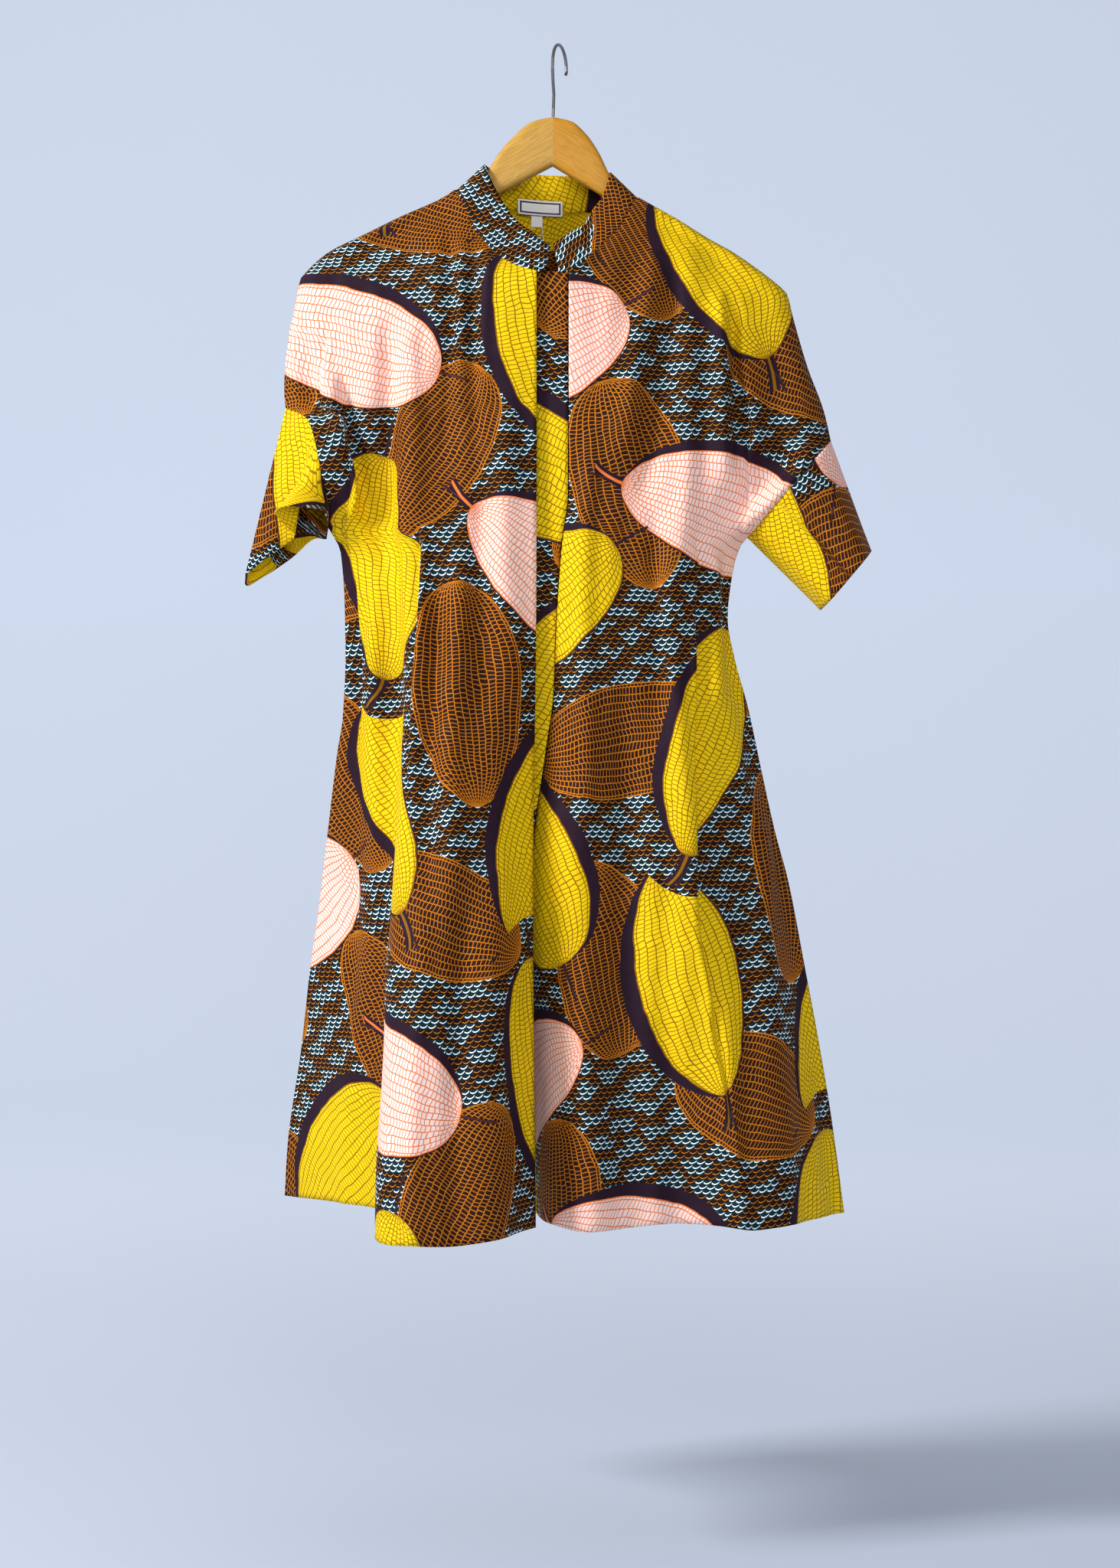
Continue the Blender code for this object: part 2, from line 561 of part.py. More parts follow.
def make_trim(name, spec, colour):
    """A small flat piece that hangs inside the back of the neck."""
    left, right, height, drop_from, behind, bow = spec
    outer = []
    inner = []
    for k in range(TRIM_ROWS + 1):
        row_out = []
        row_in = []
        for j in range(TRIM_COLUMNS + 1):
            x = left + (right - left) * j / TRIM_COLUMNS
            drop = drop_from + height * k / TRIM_ROWS + x * TRIM_TILT
            spot = to_world((x, behind + bow * (x / LABEL[0]) ** 2, drop))
            row_out.append(spot)
            row_in.append(spot + np.array([0, TRIM_THICK, 0]))
        outer.append(row_out)
        inner.append(row_in)
    solid_sheet(name, np.array(outer), np.array(inner), colour, 0.6)


def arm_section(reach, top, bottom, half, sign):
    """Points round one upright section of a hanger arm."""
    middle = (top + bottom) / 2
    tall = (bottom - top) / 2
    forward = shoulder_forward(reach)
    places = [row[0] for row in ARM_ROUNDNESS]
    side_power = np.interp(reach, places, [row[1] for row in ARM_ROUNDNESS])
    top_power = np.interp(reach, places, [row[2] for row in ARM_ROUNDNESS])
    points = []
    for k in range(ARM_SIDES):
        angle = 2 * math.pi * k / ARM_SIDES
        side = math.copysign(abs(math.cos(angle)) ** side_power, math.cos(angle))
        rise = math.copysign(abs(math.sin(angle)) ** top_power, math.sin(angle))
        points.append(to_world((sign * reach, forward + half * side, middle - tall * rise)))
    return points


def make_arm(side, name, colour):
    """One half of the hanger, swept from the centre joint along the shoulder to its round tip."""
    sign = 1 if side == "right" else -1
    shoulder = SHOULDER_RIGHT if side == "right" else SHOULDER_LEFT
    start = ARM_TO_COLLAR_RIGHT if side == "right" else ARM_TO_COLLAR_LEFT
    slope = [row for row in shoulder if row[1] <= ARM_REACH_MOST[side]]
    tip = slope[-1][1] - ARM_SHORT_OF_SHOULDER
    sections = list(start)
    first = ARM_FIRST_REACH[side]
    last = tip - ARM_TIP_ROUND
    reaches = [first + (last - first) * k / ARM_SECTIONS for k in range(ARM_SECTIONS + 1)]
    reaches += [tip - ARM_TIP_ROUND / 3, tip]
    drops = [row[0] for row in slope]
    widths = [row[1] for row in slope]
    for reach in reaches:
        share = (reach - first) / (tip - first)
        top = np.interp(reach, widths, drops) + ARM_CLEARANCE
        height = ARM_HEIGHT_AT_COLLAR + (ARM_HEIGHT_AT_TIP - ARM_HEIGHT_AT_COLLAR) * share
        half = ARM_HALF_AT_COLLAR + (ARM_HALF_AT_TIP - ARM_HALF_AT_COLLAR) * share
        shrink = math.sqrt(max(ARM_TIP_SHARE, min(1.0, (tip - reach) / ARM_TIP_ROUND)))
        middle = top + height / 2
        sections.append((reach, middle - height / 2 * shrink, middle + height / 2 * shrink, half * shrink))
    rings = [arm_section(*row, sign) for row in sections]
    points = [p for ring in rings for p in ring]
    faces = []
    for i in range(len(rings) - 1):
        for k in range(ARM_SIDES):
            a = i * ARM_SIDES + k
            b = i * ARM_SIDES + (k + 1) % ARM_SIDES
            faces.append((a, b, b + ARM_SIDES, a + ARM_SIDES))
    faces.append(tuple(range(ARM_SIDES)))
    faces.append(tuple(range(len(points) - ARM_SIDES, len(points))))
    finish_mesh(name, points, faces, colour, 0.35)


def make_hook():
    """The wire hook: up from the hanger, in front of the rail, over its top and down behind it."""
    radius = HOOK_INNER_RADIUS + WIRE_RADIUS
    points = [(x * MM, -f * MM, -d * MM) for x, f, d in SHANK]
    for k in range(HOOK_STEPS + 1):
        angle = math.pi * k / HOOK_STEPS
        out = radius * math.cos(angle)
        points.append((-out * math.sin(HOOK_TURN), -out * math.cos(HOOK_TURN),
                       -HOOK_INNER_RADIUS + radius * math.sin(angle)))
    end = points[-1]
    for share, inward in HOOK_TIP_CURL:
        points.append((end[0] * inward, end[1] * inward, end[2] - HOOK_TIP * MM * share))
    curve = bpy.data.curves.new("hook", "CURVE")
    curve.dimensions = "3D"
    curve.bevel_depth = WIRE_RADIUS
    curve.bevel_resolution = 2
    curve.use_fill_caps = True
    spline = curve.splines.new("POLY")
    spline.points.add(len(points) - 1)
    for slot, point in zip(spline.points, points):
        slot.co = (*point, 1.0)
    thing = bpy.data.objects.new("hook", curve)
    bpy.context.scene.collection.objects.link(thing)
    material = bpy.data.materials.new("hook")
    material.use_nodes = True
    shader = material.node_tree.nodes["Principled BSDF"]
    shader.inputs["Base Color"].default_value = (0.45, 0.43, 0.42, 1.0)
    shader.inputs["Roughness"].default_value = 0.25
    shader.inputs["Metallic"].default_value = 1.0
    curve.materials.append(material)


def main():
    """Build every piece of the dress and its hanger."""
    clear_scene()
    left_front, left_out = make_front("left", "front_left")
    right_front, right_out = make_front("right", "front_right")
    left_back, left_back_out, right_back, right_back_out = make_back("back")
    left_rows = list(NECK_ROWS_LEFT) + list(ROWS)
    right_rows = list(NECK_ROWS_RIGHT) + list(ROWS)
    seam_left = [i for i, d in enumerate(left_rows) if SHOULDER_LEFT[-1][0] <= d <= SIDE_LEFT[0][0]]
    seam_right = [i for i, d in enumerate(right_rows) if SHOULDER_RIGHT[-1][0] <= d <= SIDE_RIGHT[0][0]]
    make_sleeve("left", "sleeve_left", (left_front[seam_left, -1], left_out[seam_left, -1]),
                (left_back[seam_left, -1], left_back_out[seam_left, -1]))
    make_sleeve("right", "sleeve_right", (right_front[seam_right, -1], right_out[seam_right, -1]),
                (right_back[seam_right, -1], right_back_out[seam_right, -1]))
    neck_left = [i for i, d in enumerate(left_rows) if d <= NECK_LEFT[-1][0]]
    neck_right = [i for i, d in enumerate(right_rows) if d <= NECK_RIGHT[-1][0]]
    top = len(NECK_ROWS_LEFT)
    parts = [(left_front, left_out, list(reversed(neck_left))), (left_back, left_back_out, list(range(top + 1))),
             (right_back, right_back_out, list(range(top - 1, -1, -1))), (right_front, right_out, neck_right)]
    neck = [grid[i, 0] for grid, out, order in parts for i in order]
    neck_out = [out[i, 0] for grid, out, order in parts for i in order]
    neck = [to_world((COLLAR_END_LEFT[0], COLLAR_END_LEFT[2], COLLAR_END_LEFT[1]))] + neck
    neck += [to_world((COLLAR_END_RIGHT[0], COLLAR_END_RIGHT[2], COLLAR_END_RIGHT[1]))]
    neck_out = [neck_out[0]] + neck_out + [neck_out[-1]]
    make_collar(np.array(neck), np.array(neck_out))
    make_placket()
    make_trim("label", LABEL, (0.85, 0.85, 0.85))
    make_trim("size_tab", SIZE_TAB, (0.85, 0.85, 0.85))
    make_arm("left", "hanger_left", (0.80, 0.50, 0.22))
    make_arm("right", "hanger_right", (0.72, 0.40, 0.13))
    make_hook()


main()
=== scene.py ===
"""The looks of a short sleeve dress hanging on its wooden hanger.

Tables are in millimetres: drop is the distance below the hook's seat, reach the distance outward
from the hanger's centre line, forward the distance toward the front. The cloth is laid out in the
same level rows and fold lines as the solids, only finer, with creases and a printed pattern added.
"""

import math

import bmesh
import bpy
import numpy as np
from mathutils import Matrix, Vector


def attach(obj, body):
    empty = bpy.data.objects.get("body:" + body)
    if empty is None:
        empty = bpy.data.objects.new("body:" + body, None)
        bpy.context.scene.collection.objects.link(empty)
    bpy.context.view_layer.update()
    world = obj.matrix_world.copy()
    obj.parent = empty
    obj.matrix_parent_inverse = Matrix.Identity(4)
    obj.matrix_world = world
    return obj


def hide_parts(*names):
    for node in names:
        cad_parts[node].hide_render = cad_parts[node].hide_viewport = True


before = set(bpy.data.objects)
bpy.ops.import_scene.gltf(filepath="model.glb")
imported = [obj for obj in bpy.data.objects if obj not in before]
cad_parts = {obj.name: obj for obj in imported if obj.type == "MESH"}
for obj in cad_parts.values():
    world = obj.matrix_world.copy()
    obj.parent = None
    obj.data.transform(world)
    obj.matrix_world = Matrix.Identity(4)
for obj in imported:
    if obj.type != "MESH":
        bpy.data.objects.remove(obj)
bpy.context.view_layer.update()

# Directions of the sides, as seen from the front, and of the faces
SIGN = {"left": -1, "right": 1}
FACING = {"front": 1, "back": -1}
AHEAD = np.array([0.0, -1.0, 0.0])

# Driving sizes, in metres
MM = 0.001
SEAM_GAP = 0.0004
HANGER_OFFSET = -0.0063
CLOTH_THICK = 0.0009
COLLAR_THICK = 0.0016
TAPE_THICK = 0.0004
CENTRE_WELD = 0.00002
THREAD_RADIUS = 0.00035

# Driving sizes, in mm
SHOULDER_LEAN = 6.0
SHOULDER_LEAN_REACH = 230.0
EDGE_ROLL = 9.0
HEM_DROP = 1065.0
HEM_EASE_FROM = 560.0
YOKE_DROP = 147.0
CHEST_DROP = 226.0
YOKE_CURVE = {"front": 1.35, "back": 2.2}
ARM_ROOM = 9.5
ARM_ROOM_WITHIN = 10.0
ROOM_DROP = 250.0
PLACKET_WIDTH = 30.0
PLACKET_GAP = 0.9
PLACKET_COLUMNS = 8

# Rows down the garment, drop in mm, and the levels of the fold tables
NECK_ROWS = {
    "left": (132, 136, 141),
    "right": (139, 141.5, 144),
}
ROWS = (
    147, 157, 168, 180, 190, 201, 212, 226, 240, 262, 284, 308, 331, 343, 361, 378, 396, 414, 430, 440, 449,
    462, 480, 503, 530, 565, 605, 650, 705, 762, 825, 885, 945, 1005, 1065)
LEVELS = (132, 226, 330, 480, 762, 1065)

# Outer edge of each side: (drop, reach) down the shoulder, the sleeve seam and the side seam,
# and how far the side seam stands behind the middle
SHOULDER = {
    "left": (
        (126.4, 84), (136.9, 98), (155.8, 139.3), (171.2, 170.1), (189.4, 205.8), (210.4, 228.2),
        (213.2, 230.3), (238.4, 235.2), (268.5, 241.5), (314.7, 245), (331, 243.6)),
    "right": (
        (137.6, 77.7), (157.9, 114.1), (176.1, 142.8), (187.3, 163.1), (202.7, 185.5), (220.2, 207.9),
        (225.8, 213.5), (249.6, 219.8), (293, 232.4), (335, 247.8), (361, 253.8)),
}
SLEEVE_SEAM = {
    ("left", "front"): ((331, 243.6), (343, 222), (396, 208), (425, 203), (440, 205)),
    ("left", "back"): ((331, 243.6), (354, 252), (385, 259), (408, 240), (440, 205)),
    ("right", "front"): ((361, 253.8), (449, 178)),
    ("right", "back"): ((361, 253.8), (449, 178)),
}
SIDE_SEAM = {
    "left": (
        (440, 205), (462, 194), (512, 190.5), (553, 190), (613, 193), (643, 198), (724, 209), (798, 219),
        (834, 225), (933, 238), (967, 244), (1013, 251), (1065, 255)),
    "right": (
        (449, 178), (456, 172), (481, 164.5), (523, 160), (558, 166), (604, 178.5), (660, 190.4),
        (717, 203), (762, 215), (845, 231), (893, 240), (972, 253.4), (1065, 266)),
}
SIDE_DEPTH = {
    "left": ((440, 0), (600, 15), (762, 50), (1065, 130)),
    "right": ((449, 0), (1065, -8)),
}

# Neckline, from the shoulder down: (drop, reach, forward)
NECK = {
    ("left", "front"): (
        (131, 88, 4), (136, 86, 11.5), (168, 72, 24), (196.6, 48, 38), (209, 27, 50), (212, 14.4, 53)),
    ("right", "front"): (
        (138, 78, 4), (142, 75, 11.5), (168.3, 61, 24), (184, 47, 38), (205, 25, 50), (212, 14.6, 50)),
    ("left", "back"): (
        (131, 88, -4), (133, 84, -11.5), (137, 74, -22), (142, 52, -36), (146, 20, -45), (147, 3, -46)),
    ("right", "back"): (
        (138, 78, -4), (139.5, 74, -11.5), (141.5, 66, -20), (144, 48, -34), (146.3, 20, -44),
        (147, -3, -46)),
}

# Opening edges below the neck: (drop, x, forward); the left front laps over the right front
OPENING = {
    ("left", "front"): (
        (212, -14.4, 53), (330, -14.4, 52), (480, -14.5, 56), (762, -17, 84), (1065, -14.6, 118)),
    ("right", "front"): (
        (212, 14.6, 50), (412, 14.6, 48), (460, 8.4, 48), (532, 3.5, 52), (592, 1.5, 55), (643, -5.4, 58),
        (762, -20, 62), (1065, -14, 14)),
    ("left", "back"): (
        (147, -3, -46), (226, -3, -50), (330, -3, -62), (480, -3, -78), (762, -4, -120), (1065, -8, -168)),
    ("right", "back"): (
        (147, -3, -46), (226, -3, -50), (330, -3, -62), (480, -3, -78), (762, -4, -120), (1065, -8, -168)),
}

# Fold lines of each panel, from the opening outward: share of the way to the side at each level,
# forward depth at each level, and how far the hem hangs below its level there
FOLDS = {
    ("left", "front"): (
        ((0.12, 0.10, 0.10, 0.10, 0.09, 0.08), (6, 51, 54, 62, 104, 146), 2),
        ((0.28, 0.28, 0.28, 0.30, 0.25, 0.20), (6, 43, 49, 66, 128, 180), 6),
        ((0.42, 0.41, 0.42, 0.50, 0.45, 0.36), (6, 37, 41, 65, 132, 190), 8),
        ((0.50, 0.50, 0.53, 0.665, 0.605, 0.555), (6, 34, 38, 58, 118, 176), 7),
        ((0.58, 0.58, 0.61, 0.72, 0.655, 0.595), (6, 31, 34, 36, 16, 4), -2),
        ((0.76, 0.76, 0.78, 0.86, 0.82, 0.76), (5, 24, 27, 25, -10, -44), -3)),
    ("right", "front"): (
        ((0.10, 0.08, 0.07, 0.07, 0.07, 0.05), (6, 48, 49, 55, 80, 96), 0),
        ((0.22, 0.20, 0.18, 0.16, 0.16, 0.16), (6, 43, 47, 58, 92, 128), 3),
        ((0.44, 0.42, 0.40, 0.42, 0.42, 0.42), (6, 36, 41, 51, 76, 98), -1),
        ((0.60, 0.58, 0.56, 0.62, 0.63, 0.56), (6, 33, 37, 48, 84, 104), 0),
        ((0.68, 0.66, 0.63, 0.70, 0.67, 0.68), (6, 29, 35, 43, 74, 122), 2),
        ((0.86, 0.84, 0.84, 0.88, 0.88, 0.90), (5, 19, 26, 26, 48, 52), 0)),
    ("left", "back"): (
        ((0.22, 0.20, 0.18, 0.22, 0.22, 0.20), (-6, -45, -54, -72, -128, -196), 4),
        ((0.45, 0.44, 0.42, 0.45, 0.45, 0.45), (-6, -34, -42, -60, -104, -158), 0),
        ((0.68, 0.66, 0.66, 0.72, 0.72, 0.74), (-6, -25, -34, -46, -104, -186), 3),
        ((0.86, 0.85, 0.84, 0.88, 0.90, 0.92), (-4, -15, -24, -26, -78, -160), 0)),
    ("right", "back"): (
        ((0.22, 0.20, 0.18, 0.22, 0.22, 0.20), (-6, -44, -55, -76, -134, -200), 4),
        ((0.45, 0.44, 0.42, 0.45, 0.45, 0.42), (-6, -34, -42, -60, -98, -150), 0),
        ((0.68, 0.66, 0.66, 0.70, 0.70, 0.68), (-6, -25, -34, -44, -92, -168), 3),
        ((0.86, 0.85, 0.84, 0.88, 0.90, 0.90), (-5, -17, -26, -24, -46, -84), 0)),
}

# Sleeve ends: (reach, drop, forward) round the cuff, from its outer corner to the underarm. The
# left front's cuff is folded back, and its outer part passes behind the lifted fold
SEAM_OPENING = 42.0
CUFF_RIGHT_OUTER = (291.2, 461.0, 0.0)
CUFF_RIGHT_UNDER = (245.0, 515.2, 0.0)
CUFF_RIGHT_DEPTH = 52.0
CUFF_LEFT = {
    "front": (
        (281, 483, 2), (264, 470, 7), (248, 459, 7), (237, 451, 8), (236, 446, 13), (243, 439, 22),
        (250, 431, 34), (251, 428, 42), (243, 424, 50), (230, 424, 52), (216, 425, 50), (206, 429, 42),
        (204, 437, 22), (207, 450, -4)),
    "back": (
        (281, 483, 2), (281, 491.5, -22), (248, 469.2, -42), (222, 449, -30), (207, 450, -4)),
}

# Collar band: (x, drop, forward) along its top edge from the left end round the back, and its ends
COLLAR_TOP = (
    (-2, 187, 33), (-15.9, 175, 29), (-33.3, 161.6, 23), (-50.2, 135.5, 15), (-61, 112, 11),
    (-62.5, 107, 0), (-59, 108.5, -12), (-50, 110.5, -24), (-26.3, 111.5, -38), (-0.8, 110.5, -44),
    (17.7, 113, -42), (40, 114, -27), (51, 114.5, -12), (53.5, 114, 0), (52, 119, 11), (44.7, 140.4, 16),
    (37.6, 149.8, 20), (27.8, 166.7, 25), (16.7, 173.6, 29), (0.6, 185, 33))
COLLAR_END_LEFT = (-6.8, 212, 54)
COLLAR_END_RIGHT = (5.6, 212, 52)
COLLAR_RINGS = 13

# Hanger halves: (reach, top drop, bottom drop, half thickness) from the centre joint to the collar,
# then the height and half thickness, beside the collar and at the tip
ARM_TO_COLLAR = {
    "left": (
        (0.3, 65, 109, 10), (18, 69, 118.4, 10), (37, 84, 128.4, 9.3), (50, 99, 135, 8.6),
        (60, 114.5, 140.5, 7.4), (76, 128.5, 150, 6.4)),
    "right": (
        (0.3, 65, 109, 10), (17, 69, 119.2, 10), (31, 81, 127.6, 9.3), (42, 97, 134.4, 8.6),
        (53, 118.5, 142, 7.4), (68, 134, 157, 6.4)),
}
ARM_HEIGHTS = (25.0, 17.0)
ARM_HALVES = (6.2, 5.0)
ARM_CLEARANCE = 3.4
ARM_FIRST_REACH = {"left": 96.0, "right": 88.0}
ARM_REACH_MOST = {"left": 231.0, "right": 214.0}
ARM_SHORT_OF_SHOULDER = 8.0
ARM_SECTIONS = 7
ARM_TIP_ROUND = 9.0
ARM_TIP_SHARE = 0.12

# Finer sections of each half, its sides, where the halves meet, and the powers that round a
# section's faces and its top: (reach, face power, top power)
ARM_FINE = 90
ARM_SIDES = 36
ARM_JOINT = 0.06
ARM_SHARP = math.radians(50)
ARM_ROUNDNESS = ((0, 0.30, 0.50), (45, 0.38, 0.58), (88, 0.80, 0.90))

# Woven label and size tab on the inside of the back collar:
# x from, x to, height, drop of the top edge, forward, bow, in mm
LABEL = (-32.0, 9.0, 14.0, 135.0, -39.8, 7.5)
SIZE_TAB = (-20.0, -9.5, 10.5, 149.1, -41.2, 1.5)
TRIM_TILT = 0.05
TRIM_LIFT = 0.15
TRIM_COLUMNS = 24
TRIM_ROWS = 10
PLACKET_HIDDEN = ((212, 46), (330, 45), (480, 46), (762, 54), (1065, -6))

# Loose thread ends under the size tab: (x, forward, drop)
THREADS = {
    "thread_left": ((-19, -40.5, 158), (-20.5, -40, 162), (-21.5, -39.6, 166), (-21.6, -39.5, 169)),
    "thread_right": ((-10.5, -40.5, 158), (-9.4, -40, 163), (-9.0, -39.4, 169), (-8.4, -39.2, 175)),
}
THREAD_STEPS = 16

# Floor and the wall far behind the dress, in metres, and the painted light that makes the wall glow softly of
# itself
FLOOR_Z = -1.36
FLOOR_FRONT = 5.5
FLOOR_HALF = 7.0
WALL_BEHIND = 5.5
WALL_TOP = 4.0
COVE = 1.2
COVE_STEPS = 24
# Painted light: colour of the glow the wall emits, and how far behind it starts and where it is full
WALL_PAINTED_LIGHT = (0.300, 0.325, 0.355)
PAINTED_LIGHT_FROM = -0.8
PAINTED_LIGHT_FULL = 3.2

# Soft lamps: place and size in metres, power in watts, colour
LAMPS = {
    "key": ((-2.7, -1.45, 1.0), 0.9, 128.0, (1.0, 0.98, 0.96)),
    "fill": ((2.2, -2.4, -0.2), 2.4, 5.0, (0.97, 0.98, 1.0)),
    "front": ((0.2, -3.2, 0.0), 0.7, 27.0, (1.0, 1.0, 1.0)),
}
LAMP_AIM = Vector((0.0, 0.0, -0.6))
SKY_COLOUR = (0.93, 0.95, 1.0, 1.0)
SKY_STRENGTH = 0.40
CAMERA_PLACE = (0.0004, -3.3, -0.674)
CAMERA_LENS = 82.87

# Finer rows and columns than the solids, in mm
ROW_STEP = 6.0
COLUMN_STEP = 4.2
COLUMN_SPLITS = 8
TUCK_REACH = 8.0
TUCK_COLUMNS = 12

# A tuck that hides TUCK_FULL stands this far out at its edge and sinks this far under it, in mm;
# tucks and creases fade out within these distances of the seam, the top and the inner edge
TUCK_FULL = 18.0
TUCK_RISE = 2.8
TUCK_SINK = 6.0
SEAM_CALM = 16.0
TOP_CALM = 60.0
INNER_CALM = 18.0

# Tucks, each a fold whose inner side laps over a hidden strip: drop, share of the row's reach
# where its edge runs, and the strip hidden, in mm
TUCKS = {
    ("left", "front"): (
        ((147, 0.80, 0), (400, 0.90, 0), (446, 0.93, 0), (454, 0.945, 14), (472, 0.945, 26),
         (492, 0.93, 28), (532, 0.93, 28), (576, 0.92, 24), (630, 0.92, 8), (680, 0.92, 0), (1065, 0.90, 0)),
        ((147, 0.30, 0), (250, 0.35, 0), (282, 0.37, 4), (386, 0.53, 9), (491, 0.625, 10), (600, 0.655, 3),
         (660, 0.64, 0), (762, 0.60, 0), (1065, 0.50, 0)),
    ),
    ("right", "front"): (
        ((147, 0.50, 0), (331, 0.55, 0), (440, 0.70, 0), (480, 0.80, 3), (514, 0.81, 10), (644, 0.68, 17),
         (711, 0.626, 18), (810, 0.59, 18), (861, 0.607, 16), (896, 0.596, 14), (943, 0.614, 8),
         (1000, 0.615, 0), (1065, 0.615, 0)),
        ((147, 0.80, 0), (240, 0.78, 0), (287, 0.73, -2), (363, 0.714, -7), (405, 0.82, -9),
         (435, 0.93, -6), (449, 0.95, 0), (1065, 0.93, 0)),
    ),
    ("left", "back"): (
        ((147, 0.45, 0), (420, 0.50, 0), (560, 0.56, 12), (820, 0.60, 14), (980, 0.60, 4), (1065, 0.60, 0)),
    ),
    ("right", "back"): (
        ((147, 0.40, 0), (380, 0.44, 0), (500, 0.48, 9), (740, 0.46, 13), (900, 0.44, 4), (1065, 0.44, 0)),
    ),
}

# Creases of each panel: x and drop at the top, x and drop at the foot, width, height of the
# ridge (a trough where it is negative), all in mm
CREASES = {
    "left front": (
        (-58, 160, -60, 380, 5, 2.2), (-69, 158, -73, 430, 5, -2.4), (-80, 156, -88, 360, 5, 2.6),
        (-92, 162, -98, 400, 5, -2.4), (-104, 170, -112, 330, 6, 2.0), (-126, 235, -134, 470, 13, 6.0),
        (-150, 240, -152, 500, 10, -6.0), (-204, 290, -176, 445, 8, 6.0), (-190, 290, -166, 470, 7, -6.5),
        (-226, 235, -222, 340, 6, -4.0), (-42, 300, -40, 620, 11, 3.0), (-62, 380, -66, 640, 10, -3.5),
        (-84, 430, -92, 820, 11, 5.0), (-104, 470, -110, 800, 8, -5.0), (-158, 470, -160, 900, 10, 5.0),
        (-178, 500, -192, 960, 9, -5.0), (-52, 700, -50, 1065, 13, 4.0), (-78, 740, -82, 1065, 11, -5.0),
        (-116, 760, -122, 1065, 9, 3.5)),
    "right front": (
        (92, 175, 62, 400, 10, 4.5), (110, 190, 84, 430, 9, -4.5), (126, 240, 112, 520, 11, 4.0),
        (148, 215, 160, 420, 9, 6.0), (164, 225, 166, 400, 7, -5.0), (200, 250, 210, 420, 9, -4.0),
        (220, 270, 226, 400, 8, 3.0), (96, 420, 92, 640, 9, -4.5), (142, 450, 150, 620, 7, 5.0),
        (112, 520, 118, 960, 9, 3.5), (32, 330, 28, 760, 10, 3.5), (62, 560, 62, 1065, 13, -4.5),
        (86, 640, 86, 1065, 12, 4.5), (182, 640, 206, 1065, 12, 5.0), (160, 700, 180, 1065, 9, -4.5),
        (30, 800, 32, 1065, 11, 3.5)),
    "back": (
        (-60, 180, -70, 520, 12, 5.0), (-120, 210, -128, 480, 11, -5.5), (-180, 240, -172, 440, 9, 6.5),
        (-222, 280, -218, 400, 8, -4.0), (-96, 460, -108, 900, 12, 6.0), (-58, 560, -66, 1065, 13, -6.0),
        (-170, 560, -200, 1065, 12, 6.5), (-22, 300, -20, 700, 10, -3.5), (52, 190, 58, 500, 12, -5.0),
        (118, 200, 124, 470, 10, 5.5), (168, 230, 170, 430, 9, -6.0), (214, 280, 222, 400, 8, 4.0),
        (128, 450, 140, 940, 12, -5.5), (56, 560, 62, 1065, 13, 6.0), (172, 620, 206, 1065, 11, -5.0),
        (24, 420, 26, 1000, 11, 4.5)),
}
CREASE_END = 0.22
CREASE_SWAY = 2.4
CREASE_SCALE = 1.55
RIPPLE_HEIGHT = 0.95
RIPPLE_LENGTHS = ((61, 190), (37, 120), (23, 75))
RIPPLE_SEEDS = {"left front": 1.0, "right front": 2.2, "back": 3.1}

# Sleeves: columns to the underarm and rings. The left front has no folds but its cuff's
SLEEVE_COLUMNS = 64
SLEEVE_RINGS = 25

# Tuck of the right sleeve's front: place at the mouth and at the cuff in shares, strip hidden in mm
SLEEVE_TUCK = (0.62, 0.50, 8.0)

# Folds of the sleeves: share round the mouth, width in shares, height in mm, turn from the mouth
# to the cuff in shares
SLEEVE_FOLDS = (
    (0.12, 0.035, 3.5, 0.03), (0.24, 0.035, -3.0, 0.02), (0.40, 0.040, 3.0, -0.03),
    (0.66, 0.045, 3.5, 0.02), (0.80, 0.040, -3.5, 0.03))

# Where each piece is cut from the print: place along and down the repeat in mm, turn in degrees
PRINT_PLACES = {
    "front_left_cloth": (95, 60, 0),
    "front_right_cloth": (330, 210, 0),
    "back": (250, 480, 0),
    "sleeve_left_cloth": (235, 300, 0),
    "sleeve_right_cloth": (150, 300, 0),
    "collar_cloth": (180, 45, 60),
    "placket_cloth": (210, 160, 8),
}

# The print's repeat, and the leaves of each kind: place along and down the repeat, the turn of
# the stalk in degrees and the length, in mm
REPEAT = (620.0, 680.0)
LEAVES = {
    "brown": (
        (205, 215, 25, 200), (405, 150, -65, 190), (200, 430, 140, 200), (402, 345, 10, 190),
        (8, 225, 95, 205), (600, 455, 60, 190), (190, 645, -35, 205), (405, 585, 105, 205),
        (590, 25, 160, 190)),
    "pink": (
        (100, 335, -38, 210), (305, 25, 28, 205), (500, 560, -15, 215)),
    "yellow": (
        (95, 105, 62, 225), (105, 555, 105, 230), (300, 240, -58, 225), (300, 460, 35, 225),
        (500, 130, 118, 230), (505, 345, 72, 220)),
}

# Each kind of leaf, in its own lengths: width share, ribs to a side, a vein's half width from and
# to, and where a cross line starts, is full, and how strong it is
LEAF_LOOKS = {
    "brown": (0.56, 8.0, (0.0032, 0.0016), (0.74, 0.82, 0.90)),
    "pink": (0.52, 7.0, (0.0028, 0.0014), (0.72, 0.82, 0.92)),
    "yellow": (0.50, 7.0, (0.0028, 0.0012), (0.74, 0.84, 0.90)),
}

